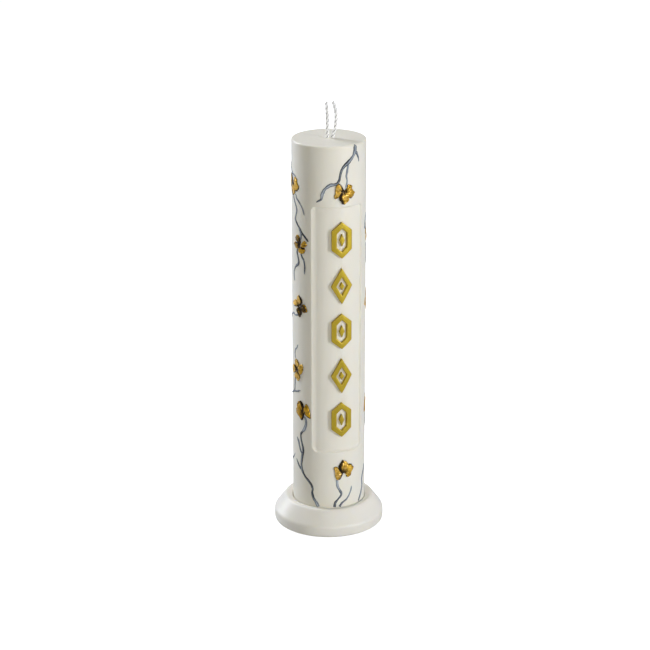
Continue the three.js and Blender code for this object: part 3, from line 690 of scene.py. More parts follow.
def catmull3(points, per=14):
    """As catmull, with spacing from all three coordinates."""
    p = [np.array(q, float) for q in points]
    p = [2 * p[0] - p[1], *p, 2 * p[-1] - p[-2]]
    out = []
    for i in range(1, len(p) - 2):
        p0, p1, p2, p3 = p[i - 1:i + 3]
        for k in range(per):
            u = k / per
            out.append(0.5 * ((2 * p1) + (p2 - p0) * u + (2 * p0 - 5 * p1 + 4 * p2 - p3) * u * u + (3 * p1 - p0 - 3 * p2 + p3) * u ** 3))
    out.append(p[-2])
    return np.array(out)


def even3(c, n):
    s = np.concatenate([[0], np.cumsum(np.linalg.norm(np.diff(c, axis=0), axis=1))])
    t = np.linspace(0, s[-1], n)
    return np.stack([np.interp(t, s, c[:, k]) for k in range(3)], 1), s[-1]


def frames(path):
    """A steady frame along a path: tangents, and two normals that don't twist."""
    tang = np.gradient(path, axis=0)
    tang /= np.linalg.norm(tang, axis=1)[:, None]
    n = np.array([0.0, -1.0, 0.0])
    ns = []
    for t in tang:
        n = n - t * (n @ t)
        n /= np.linalg.norm(n)
        ns.append(n.copy())
    ns = np.array(ns)
    return tang, ns, np.cross(tang, ns)


def tube(b, path, radius, sides, **tags):
    """A closed tube along a path in millimetres. radius is a number or a function of (fraction along, angle)."""
    _, n1, n2 = frames(path)
    rings = []
    m = len(path)
    for i in range(m):
        pts = []
        for k in range(sides):
            a = 2 * math.pi * k / sides
            r = radius(i / (m - 1), a) if callable(radius) else radius
            pts.append(tuple((path[i] + n1[i] * math.cos(a) * r + n2[i] * math.sin(a) * r) * MM))
        rings.append(b.add(pts, **{k: (v(i / (m - 1)) if callable(v) else v) for k, v in tags.items()}))
    for a, c in zip(rings, rings[1:]):
        b.bridge(a, c)
    ends = {k: (v(0) if callable(v) else v) for k, v in tags.items()}
    b.fan(rings[0], tuple(path[0] * MM), **ends)
    b.fan(rings[-1], tuple(path[-1] * MM), **ends)


def build_wick(name, phase, pitch, seed):
    rng = np.random.default_rng(seed)
    pts = [(x, y, z + CANDLE_TOP) for x, y, z in WICK_PATHS[name]]
    line, length = even3(catmull3(pts), 132)
    _, n1, n2 = frames(line)
    b = Build()
    m = len(line)
    for ply in range(3):
        ply_path = []
        for i in range(m):
            t = i / (m - 1)
            a = phase + ply * 2 * math.pi / 3 + 2 * math.pi * t * length / pitch
            open_up = max(0.0, (t - 0.93) / 0.07)
            off = 0.63 + 0.22 * open_up ** 1.5
            ply_path.append(line[i] + (n1[i] * math.cos(a) + n2[i] * math.sin(a)) * off)
        ply_path = np.array(ply_path)
        cut = m - int(rng.integers(0, 4))
        ply_path = ply_path[:cut]
        _, p1, p2 = frames(ply_path)
        rings = []
        sides = 30
        for i in range(cut):
            t = i / (m - 1)
            s = t * length
            end = max(0.0, (i - (cut - 9)) / 8)
            base = (0.66 + 0.02 * math.sin(s * 1.3 + ply)) * (1 - 0.45 * end ** 2)
            pts, gr = [], []
            tip = 0.35 * end + 0.12 * t
            for k in range(sides):
                a = 2 * math.pi * k / sides
                yarn = math.cos(6 * a + s * 2 * math.pi / 3.1)
                r = base * (1 + 0.065 * yarn)
                p = ply_path[i] + p1[i] * math.cos(a) * r + p2[i] * math.sin(a) * r
                d = np.linalg.norm(p - line[i])
                pts.append(tuple(p * MM))
                # painted crevice shade value: low where the ply surface lies in towards the wick's middle and in the
                # yarn troughs, rising towards the tip
                gr.append(float(np.clip(tip + (d - 0.62) / 0.62, 0, 1) * (0.86 + 0.14 * yarn)))
            rings.append(b.add(pts, groove=gr))
        for a, c in zip(rings, rings[1:]):
            b.bridge(a, c)
        b.fan(rings[0], tuple(ply_path[0] * MM), groove=0.5)
        b.fan(rings[-1], tuple((ply_path[-1] + (ply_path[-1] - ply_path[-3]) * 0.4) * MM), groove=0.9)
        # the yarns' loose ends
        for q in range(7):
            a = 2 * math.pi * q / 7 + rng.uniform(0, 1)
            start = ply_path[-4] + (p1[-4] * math.cos(a) + p2[-4] * math.sin(a)) * 0.3
            way = (ply_path[-1] - ply_path[-5]) / np.linalg.norm(ply_path[-1] - ply_path[-5])
            side = p1[-4] * math.cos(a) + p2[-4] * math.sin(a)
            ln = rng.uniform(0.9, 1.5)
            hair = np.array([start + way * ln * u + side * 0.34 * ln * u * u for u in np.linspace(0, 1, 7)])
            tube(b, hair, lambda t, _a: 0.13 * (1 - 0.75 * t), 6, groove=0.95)
    # loose fibres along the length
    for q in range(46):
        i = int(rng.integers(int(m * 0.22), m - 3))
        a = rng.uniform(0, 2 * math.pi)
        out = n1[i] * math.cos(a) + n2[i] * math.sin(a)
        along = (line[i + 1] - line[i]) / np.linalg.norm(line[i + 1] - line[i])
        side = np.cross(out, along)
        ln, up, sw = rng.uniform(0.5, 1.25), rng.uniform(-0.5, 0.9), rng.uniform(-0.6, 0.6)
        hair = np.array([line[i] + out * (1.08 + 0.34 * math.sin(u * 1.7)) + along * up * ln * u + side * sw * ln * u for u in np.linspace(0, 1, 7)])
        tube(b, hair, lambda t, _a: 0.022 * (1 - 0.6 * t), 4, groove=0.95)
    # the length inside the wax
    x = WICK_PATHS[name][0][0]
    core = np.array([[x, 0, z] for z in np.linspace(CLIP_Z, CANDLE_TOP - 5.0, 24)])
    tube(b, core, lambda t, a: 1.17 + 0.03 * math.cos(3 * a + t * 160), 18, groove=0.8)
    b.object(name + ".twisted", COTTON, "wick_cotton", "candle", [name], sharp=60)


build_wick("wick_left", 0.9, 9.9, 11)
build_wick("wick_right", 2.3, 9.9, 23)


# ------------------------------------------------------------------ the gilt ornaments
def shape_loop(corners, n, grow, soft):
    """A polygon's outline with softened corners, pushed in by -grow, at 4n points that match between loops."""
    c = [np.array(p, float) for p in corners]
    k = len(c)
    normals = []
    for i in range(k):
        e = c[(i + 1) % k] - c[i]
        normals.append(np.array([e[1], -e[0]]) / np.linalg.norm(e))
    area = sum(c[i][0] * c[(i + 1) % k][1] - c[(i + 1) % k][0] * c[i][1] for i in range(k))
    sign = 1 if area > 0 else -1
    moved = []
    for i in range(k):
        n0, n1 = normals[i - 1] * sign, normals[i] * sign
        moved.append(c[i] + (n0 + n1) / (1 + float(n0 @ n1)) * grow)
    out = []
    for i in range(k):
        p, a, d = moved[i], moved[i - 1], moved[(i + 1) % k]
        la, ld = np.linalg.norm(a - p), np.linalg.norm(d - p)
        s, e = p + (a - p) / la * soft, p + (d - p) / ld * soft
        for t in np.linspace(0, 1, 5):
            out.append((1 - t) ** 2 * s + 2 * t * (1 - t) * p + t * t * e)
        nxt = moved[(i + 1) % k]
        q = nxt + (p - nxt) / np.linalg.norm(p - nxt) * soft
        for t in np.linspace(0, 1, n + 2)[1:-1]:
            out.append(e * (1 - t) + q * t)
    return np.array(out)


hexagon = lambda w, h, s: [(0, h), (-w, s), (-w, -s), (0, -h), (w, -s), (w, s)]
lozenge = lambda w, h: [(0, h), (-w, 0), (0, -h), (w, 0)]
ORNAMENT_AT = 20.5
ORNAMENT_Z = [192, 160, 128, 96, 64]
BACK = R - PANEL_DEPTH + 0.02
TOPR = R - PANEL_DEPTH + 0.12 + 1.8


def onto(points, z, r, seed):
    out = []
    for x, y in points:
        lump = 0.035 * noise.noise(Vector((x * 0.5 + seed, y * 0.5, 1.7))) if r > BACK + 1 else 0
        out.append(wrap(x, z + y, r + lump, ORNAMENT_AT))
    return out


for i, z in enumerate(ORNAMENT_Z):
    if i % 2:
        outer, inner, seed_shape = lozenge(7.6, 12.6), lozenge(3.9, 6.5), lozenge(1.7, 2.9)
    else:
        outer, inner, seed_shape = hexagon(7.2, 12.6, 6.6), hexagon(3.6, 8.1, 4.8), lozenge(1.9, 4.4)
    b = Build()
    levels = [(0.0, BACK, 0.0), (0.0, TOPR - 0.5, 0.0), (0.03, TOPR - 0.22, 0.4), (0.12, TOPR - 0.07, 0.9), (0.28, TOPR, 1.0), (0.7, TOPR + 0.03, 0.2)]
    loops = []
    for inset, r, worn in levels:
        loops.append(b.add(onto(shape_loop(outer, 14, -inset, 0.55), z, r, i), edge=worn))
    for inset, r, worn in reversed(levels):
        loops.append(b.add(onto(shape_loop(inner, 14, inset, 0.55), z, r, i), edge=worn))
    for a, c in zip(loops, loops[1:]):
        b.bridge(a, c)
    b.bridge(loops[-1], loops[0])
    b.object(f"ornament_{i + 1}_frame.leaf", ORNAMENT_GOLD, "ornament_gilt", "candle", [f"ornament_{i + 1}_frame"], sharp=50)
    b = Build()
    levels = [(0.0, BACK, 0.0), (0.0, TOPR - 0.55, 0.0), (0.03, TOPR - 0.3, 0.4), (0.12, TOPR - 0.1, 0.9), (0.3, TOPR - 0.02, 1.0), (0.7, TOPR + 0.05, 0.3), (1.1, TOPR + 0.09, 0.1)]
    loops = [b.add(onto(shape_loop(seed_shape, 8, -inset, 0.4 if inset < 0.6 else 0.2), z, r, i), edge=worn) for inset, r, worn in levels]
    for a, c in zip(loops, loops[1:]):
        b.bridge(a, c)
    b.fan(loops[-1], wrap(0, z, TOPR + 0.1, ORNAMENT_AT), edge=0.1)
    b.fan(loops[0], wrap(0, z, BACK, ORNAMENT_AT), edge=0.0)
    b.object(f"ornament_{i + 1}_lozenge.leaf", ORNAMENT_GOLD, "ornament_gilt", "candle", [f"ornament_{i + 1}_lozenge"], sharp=50)


# ------------------------------------------------------------------ the gilt flowers
# petals in millimetres from the flower's middle, x round the candle and y up; each: outline, root (where its folds meet), lift, crown
PETALS = {
    "A": [
        ([(-3.3, 6), (-4.6, 5.7), (-5.7, 3.8), (-6, 2), (-6.1, -0.5), (-6.8, -2.7), (-6.4, -4), (-5, -4), (-3.6, -3), (-2.2, -1.5), (0, 0), (0.3, 1), (-0.2, 1.8), (-1.5, 4.3), (-2.4, 5.6)], (-0.6, 0.9), 0.05, 0.75),
        ([(0.6, 0.8), (1, 1.8), (2.2, 3), (2.4, 4.4), (3.5, 4.8), (5, 4.3), (5.9, 3.8), (5.8, 2.2), (4.1, 1.5), (2, 0.6)], (0.9, 0.9), 0.05, 0.6),
        ([(0.2, 1), (2, 1.8), (4.1, 2.5), (5.5, 2), (6.5, 0.8), (8.1, -1.3), (7, -3.3), (5.5, -4.7), (3.7, -4.5), (2.2, -3), (0.8, -1)], (0.6, 0.4), 0.2, 0.7),
        ([(-1.1, 1), (-2.8, -0.5), (-3.5, -2.5), (-3.4, -4.5), (-2.2, -6.5), (-0.4, -8.5), (0.9, -7.8), (2.2, -7), (3.3, -5.5), (2.9, -3.5), (1.6, -1), (0.6, 0.8)], (-0.2, 0.6), 0.45, 0.85),
    ],
    "B": [
        ([(-5, 3.5), (-3.3, 6.3), (-0.7, 5.5), (0.4, 3), (0.6, 0.9), (-0.6, 0.3), (-2.8, 1.3), (-4.1, 2)], (0.1, 0.6), 0.1, 0.6),
        ([(-7.2, -1), (-5.4, 1), (-2.8, 0.8), (0.2, 0.6), (0.3, -0.9), (-1.1, -3), (-3.3, -3.7), (-5.4, -3.2)], (0.1, -0.1), 0.05, 0.6),
        ([(6.3, 0.8), (5, 3.3), (3.3, 3), (2, 1.2), (0.1, 0.6), (0.2, -0.7), (2.6, -1.5), (5, -1)], (0.3, 0), 0.15, 0.7),
        ([(0.5, -0.5), (3, -1.4), (4.6, -2), (4.8, -4), (3.3, -5.8), (0.7, -6.1), (-1.1, -5), (-0.9, -2.5), (-0.3, -0.6)], (0.3, -0.6), 0.3, 0.75),
    ],
    "C": [
        ([(-2.6, 5), (-1.3, 8), (0.9, 7.5), (3, 5.5), (3.3, 3.5), (1.9, 1.2), (0.3, 0.2), (-0.6, 2), (-1.7, 3.5)], (0.3, 0.6), 0.1, 0.65),
        ([(-7.8, 1), (-6.1, 3.5), (-3.5, 4), (-1.6, 2.4), (0.2, 0.7), (-0.3, -0.5), (-3.5, -0.9), (-5.7, -1.5)], (-0.2, 0.2), 0.1, 0.6),
        ([(0.2, -0.2), (1, 1), (3, 2.5), (5.2, 2.7), (7, 0.5), (7.8, -2), (6.1, -3.3), (3.9, -3.2), (2, -1.6)], (0.5, 0.1), 0.1, 0.65),
        ([(0.9, 0.3), (-0.9, -0.3), (-2.6, -2.5), (-1.3, -5.5), (0.2, -8), (1.7, -6.5), (2.8, -4), (2, -1.4)], (0.4, -0.2), 0.15, 0.65),
    ],
    "D": [
        ([(-2.8, 3.5), (-3.7, 5.5), (-1.5, 7.3), (0.7, 6), (2, 3.5), (1.2, 1.4), (0, 0.2), (-1.2, 1.8)], (0, 0.6), 0.1, 0.65),
        ([(-0.2, 0.2), (1.4, 2.6), (3.3, 4.5), (5.5, 5), (6.1, 2), (5, -1.5), (2.8, -3.3), (0.5, -1.2)], (0.2, 0.1), 0.15, 0.65),
        ([(-0.2, 0), (1.5, -1.8), (2.6, -3.2), (3, -5.5), (0.4, -8.5), (-1.1, -7), (-4.1, -5.5), (-2.4, -2.5)], (0, -0.4), 0.2, 0.7),
        ([(0, 0.3), (-1.8, 1.4), (-3.7, 2.5), (-6.8, 1.5), (-8, -2), (-5.9, -4.2), (-2.4, -2.8), (-0.4, -0.8)], (-0.2, 0), 0.1, 0.65),
    ],
    "E": [
        ([(-5.5, 3.8), (-4.1, 5.3), (-2.2, 6), (-0.2, 4.5), (1.1, 1.8), (1.3, -2), (0.4, -2.6), (-1.6, -1.6), (-3.3, -0.5), (-5.5, 1)], (0.8, -1.2), 0.25, 0.8),
        ([(-6.5, 0), (-7.2, -3), (-5.7, -5), (-2.8, -6), (-1.1, -8), (0.2, -6.5), (0.9, -3.5), (0.6, -1.6), (-2, -0.6), (-3.7, 0.3)], (0.4, -2), 0.1, 0.75),
        ([(0.9, -1), (1.7, 2.5), (2.8, 5), (4.4, 4), (5.7, 1), (6.3, -2), (6.3, -5), (4.6, -4.5), (2, -3), (0.7, -2)], (1, -1.4), 0.15, 0.8),
    ],
}
FLOWERS = [
    ("flower_front_top", "A", 23.5, 225, 1, 1),
    ("flower_front_bottom", "A", 23.5, 25.5, 1, -1),
    ("flower_left_1", "A", -70, 227.5, 1, 1),
    ("flower_left_2", "B", -49.5, 187, 1, 1),
    ("flower_left_3", "C", -52, 143, 1, 1),
    ("flower_left_4", "D", -57.5, 97, 1, 1),
    ("flower_left_5", "E", -44.5, 69, 1, 1),
    ("flower_right_1", "B", 91, 191.5, -1, 1),
    ("flower_right_2", "C", 91, 143.5, -1, 1),
    ("flower_right_3", "E", 90, 68, -1, 1),
    ("flower_right_4", "A", 126, 232, -1, 1),
    ("flower_right_5", "D", 125, 104, -1, 1),
    ("flower_back_1", "A", 196, 228, 1, 1),
    ("flower_back_2", "D", 176, 190, 1, 1),
    ("flower_back_3", "C", 206, 150, -1, 1),
    ("flower_back_4", "B", 178, 112, 1, 1),
    ("flower_back_5", "E", 200, 70, -1, 1),
    ("flower_back_6", "A", 166, 30, -1, -1),
    ("flower_back_7", "B", 140, 166, 1, -1),
    ("flower_back_8", "D", 228, 112, -1, 1),
    ("flower_back_9", "C", 232, 176, 1, 1),
    ("flower_back_10", "A", 237, 38, 1, -1),
]
RINGS = [1.0, 0.99, 0.975, 0.95, 0.92, 0.885, 0.85, 0.81, 0.77, 0.73, 0.68, 0.63, 0.58, 0.52, 0.46, 0.40, 0.34, 0.28, 0.22, 0.16, 0.10, 0.05]
# painted shading for each petal: a painted dark reflection in brown on the flank facing (x, y), how far in it reaches,
# how deep, then how dark the petal's middle is painted, and how pale its gold is from the painted highlight
PAINTED_SHADING = {
    "A": [((0.9, 0.35), 0.40, 1.0, 0.0, 0.75), ((-0.6, -0.6), 0.35, 0.7, 0.1, 0.2), ((0.3, -0.95), 0.22, 0.8, 0.05, 0.35), ((-0.95, -0.1), 0.7, 1.0, 0.0, 0.55)],
    "B": [((0.6, -0.7), 0.75, 1.0, 0.75, 0.1), ((0.8, 0.3), 0.75, 1.0, 0.55, 0.1), ((-0.9, -0.2), 0.35, 0.8, 0.1, 0.25), ((-0.2, 0.95), 0.6, 1.0, 0.2, 0.15)],
    "C": [((0.95, 0.1), 0.5, 1.0, 0.0, 0.7), ((0.3, -0.9), 0.5, 0.9, 0.0, 0.7), ((-0.9, 0.3), 0.9, 1.0, 0.95, 0.0), ((0.9, 0.2), 0.8, 1.0, 0.85, 0.1)],
    "D": [((0.2, -0.95), 0.35, 0.8, 0.0, 1.0), ((-0.7, -0.5), 0.4, 0.9, 0.05, 0.45), ((-0.3, 0.9), 0.3, 0.8, 0.0, 0.8), ((0.9, 0.1), 0.3, 0.9, 0.0, 1.0)],
    "E": [((0.85, 0.5), 0.55, 1.0, 0.15, 0.05), ((0.4, -0.8), 0.4, 0.8, 0.3, 0.05), ((-0.3, -0.9), 0.4, 1.0, 0.1, 0.15)],
}


def build_petal(b, outline, root, lift, crown, wash, fx, fy, centre, z, seed, flat=1.0):
    n = 120
    loop, _ = spaced(catmull([(x * fx, y * fy) for x, y in outline], closed=True, per=10), n, closed=True)
    root = np.array([root[0] * fx, root[1] * fy])
    rng = np.random.default_rng(seed)
    nxt = np.roll(loop, -1, 0)
    cr = loop[:, 0] * nxt[:, 1] - nxt[:, 0] * loop[:, 1]
    area = 0.5 * np.sum(cr)
    mid = np.array([np.sum((loop[:, 0] + nxt[:, 0]) * cr), np.sum((loop[:, 1] + nxt[:, 1]) * cr)]) / (6 * area)
    far = float(np.max(np.linalg.norm(loop - root, axis=1)))
    axis = mid - root
    axis /= np.linalg.norm(axis)
    cross = np.array([-axis[1], axis[0]])
    # the petal's painted shading: flank direction, reach and depth of the painted dark, painted dark over the middle,
    # and painted highlight strength
    face, reach, deep, body, pale = wash
    face = np.array([face[0] * fx, face[1] * fy])
    face /= np.linalg.norm(face)
    # a ruffled outline, calm near the root
    out, facing = [], []
    for i, p in enumerate(loop):
        d = p - mid
        away = min(1.0, np.linalg.norm(p - root) / far)
        ruffle = 0.15 * math.sin(i / n * 2 * math.pi * 9 + seed) * away ** 2 + 0.09 * math.sin(i / n * 2 * math.pi * 17 + 2 * seed) * away ** 2
        out.append(p + d / max(np.linalg.norm(d), 1e-6) * ruffle)
        e = loop[(i + 2) % n] - loop[i - 2]
        nrm = np.array([e[1], -e[0]]) * (1 if area > 0 else -1)
        facing.append(max(0.0, float(nrm @ face) / max(np.linalg.norm(nrm), 1e-6)))
    facing = np.array(facing)
    facing = np.convolve(np.concatenate([facing[-5:], facing, facing[:5]]), np.ones(11) / 11, "valid")
    loop = np.array(out)
    phase = rng.uniform(0, 6.28, 3)
    pleats = int(rng.integers(4, 7))

    def height(p, s, fc):
        d = p - root
        rho = min(1.0, np.linalg.norm(d) / far)
        side = float(d @ cross) / far
        ang = math.atan2(float(d @ cross), float(d @ axis))
        flank = max(0.0, (s - (1 - reach)) / reach) * fc if s > 1 - reach else 0.0
        swell = math.sin(min(1.0, rho * 1.18) ** 0.85 * math.pi * 0.86)
        h = 0.22 + crown * swell
        h += 0.20 * rho * math.cos(ang * pleats + phase[0] + 1.1 * rho) * (1 - s ** 5)
        h += 0.035 * rho * math.cos(ang * 15 + phase[1] + 3 * rho)
        crumple = max(0.1, 1 - abs(noise.noise(Vector((p[0] * 0.85 + seed, p[1] * 0.85, 1.3)))) * 2.6)
        h += 0.10 * (crumple - 0.45) * (1 - s ** 6)
        h += 0.03 * noise.noise(Vector((p[0] * 2.1 + seed, p[1] * 2.1, 4.3)))
        h -= 0.30 * math.exp(-(side / 0.05) ** 2) * (0.35 + 0.65 * (1 - rho)) * rho ** 0.3
        h += 0.26 * math.exp(-((s - 0.88) / 0.07) ** 2) * rho ** 2 * (0.55 + 0.45 * math.cos(ang * 3 + phase[2]))
        h *= 1 - 0.46 * flank ** 0.8
        edge = min(1.0, (1 - s) / 0.08)
        h = h * (0.5 + 0.5 * math.sqrt(edge * (2 - edge)))
        return (lift + max(0.1, h)) * flat, rho, crumple, flank

    # the petal's foot ring against the wax and its underside get painted shade (low painted crease value, full painted
    # dark), except that flattened flowers keep the foot ring light
    bottom = b.add([wrap(p[0], z + p[1], R - 0.22, centre) for p in loop], fold=0.1 if flat > 0.4 else 0.8, tint=pale, wash=1.0 if flat > 0.4 else 0.1)
    last = bottom
    for s in RINGS:
        pts, fold, dark, tone = [], [], [], []
        for p, fc in zip(loop, facing):
            q = mid + (p - mid) * s
            h, rho, crumple, flank = height(q, s, fc)
            pts.append(wrap(q[0], z + q[1], R + h, centre))
            # painted crease value: high on raised parts, low in creases, which get painted shade; flattened flowers
            # keep their rims clear of it
            raised = float(np.clip(0.62 * (h / flat - lift) / (crown + 0.2) + 0.38 * crumple, 0, 1) * min(1.0, 0.2 + rho * 1.5))
            fold.append(raised if flat > 0.4 or s < 0.85 else max(raised, 0.8))
            rim = max(0.0, (s - 0.86) / 0.14)
            # painted dark reflection: on the flank that faces the chosen way, and over the petal's middle away from its
            # rim
            inner = body * (1 - rim) * (0.75 + 0.5 * noise.noise(Vector((q[0] * 1.3, q[1] * 1.3, seed))))
            dark.append(float(np.clip(max(min(1.0, flank * 2.2) * deep, inner), 0, 1)))
            # painted highlight strength per point: the petal's setting varied by noise, stronger on crumpled high spots
            tone.append(float(np.clip(pale * (0.55 + 0.9 * noise.noise(Vector((q[0] * 0.6, q[1] * 0.6, seed + 9))) + 0.4 * crumple), 0, 1)))
        ring = b.add(pts, fold=fold, tint=tone, wash=dark)
        b.bridge(last, ring)
        last = ring
    h, rho, crumple, flank = height(mid, 0.0, 0.0)
    b.fan(last, wrap(mid[0], z + mid[1], R + h, centre), fold=0.7, tint=pale, wash=float(np.clip(body, 0, 1)))
    b.fan(bottom, wrap(mid[0], z + mid[1], R - 0.22, centre), fold=0.1, tint=pale, wash=1.0)


def bead(b, x, y, z, centre, r, base, squash=1.0, fold=0.8, tint=0.3, stretch=(1, 1), turn=0.0, flat=1.0):
    """A small rounded drop standing on the flower."""
    rings = []
    for k in range(8):
        a = k / 7 * 100 * DEG
        rr, hh = r * math.cos(a * 0.9), base + r * squash * math.sin(a * 0.9)
        pts = []
        for i in range(14):
            t = 2 * math.pi * i / 14
            u, v = rr * math.cos(t) * stretch[0], rr * math.sin(t) * stretch[1]
            pts.append(wrap(x + u * math.cos(turn) - v * math.sin(turn), z + y + u * math.sin(turn) + v * math.cos(turn), R + hh * flat, centre))
        # painted shade at the drop's foot, fading out towards its top, and the painted crease value rising towards its
        # top
        rings.append(b.add(pts, fold=fold * (0.3 + 0.1 * k), tint=tint, wash=max(0.0, 0.7 - 0.2 * k)))
    for a, c in zip(rings, rings[1:]):
        b.bridge(a, c)
    b.fan(rings[-1], wrap(x, z + y, R + (base + r * squash) * flat, centre), fold=fold, tint=tint, wash=0.0)
    b.fan(rings[0], wrap(x, z + y, R + base * flat - 0.01, centre), fold=0.1, tint=tint, wash=0.8)


FLAT = {"flower_left_1": 0.42, "flower_right_1": 0.32, "flower_right_2": 0.32, "flower_right_3": 0.32}
# flowers seen edge-on at the right get this painted shading instead: a little painted dark on the flank facing (0.9,
# -0.3) and a faint painted highlight
EDGE_ON = ((0.9, -0.3), 0.3, 0.2, 0.0, 0.05)
TIGHT = {"B": 0.93, "C": 0.91, "D": 0.94}
HEARTS = {"A": (0.5, 0.7, 60), "E": (0.8, -1.4, 80)}
for index, (name, kind, deg, z, fx, fy) in enumerate(FLOWERS):
    b = Build()
    for k, (outline, root, lift, crown) in enumerate(PETALS[kind]):
        mx, my = np.mean(outline, axis=0)
        tight = TIGHT.get(kind, 1.0)
        outline = [(mx + (x - mx) * tight, my + (y - my) * tight) for x, y in outline]
        build_petal(b, outline, root, lift, crown * 1.15, EDGE_ON if name in FLAT and deg > 0 else PAINTED_SHADING[kind][k], fx, fy, deg, z, index * 10 + k + 1, FLAT.get(name, 1.0))
    if kind in HEARTS:
        hx, hy, turn = HEARTS[kind]
        hx, hy = hx * fx, hy * fy
        flat = FLAT.get(name, 1.0)
        bead(b, hx, hy, z, deg, 0.55, 0.45, 0.7, 0.6, 0.2, (1.3, 0.75), turn * DEG * fx * fy, flat)
        for k in range(3):
            a = k / 3 * 2 * math.pi + index
            bead(b, hx + 0.72 * math.cos(a), hy + 0.72 * math.sin(a), z, deg, 0.24, 0.42, 1.0, 0.7, 0.4, flat=flat)
    b.object(name + ".petals", FLOWER_GOLD, "flower_gilt", "candle", [name], sharp=70)


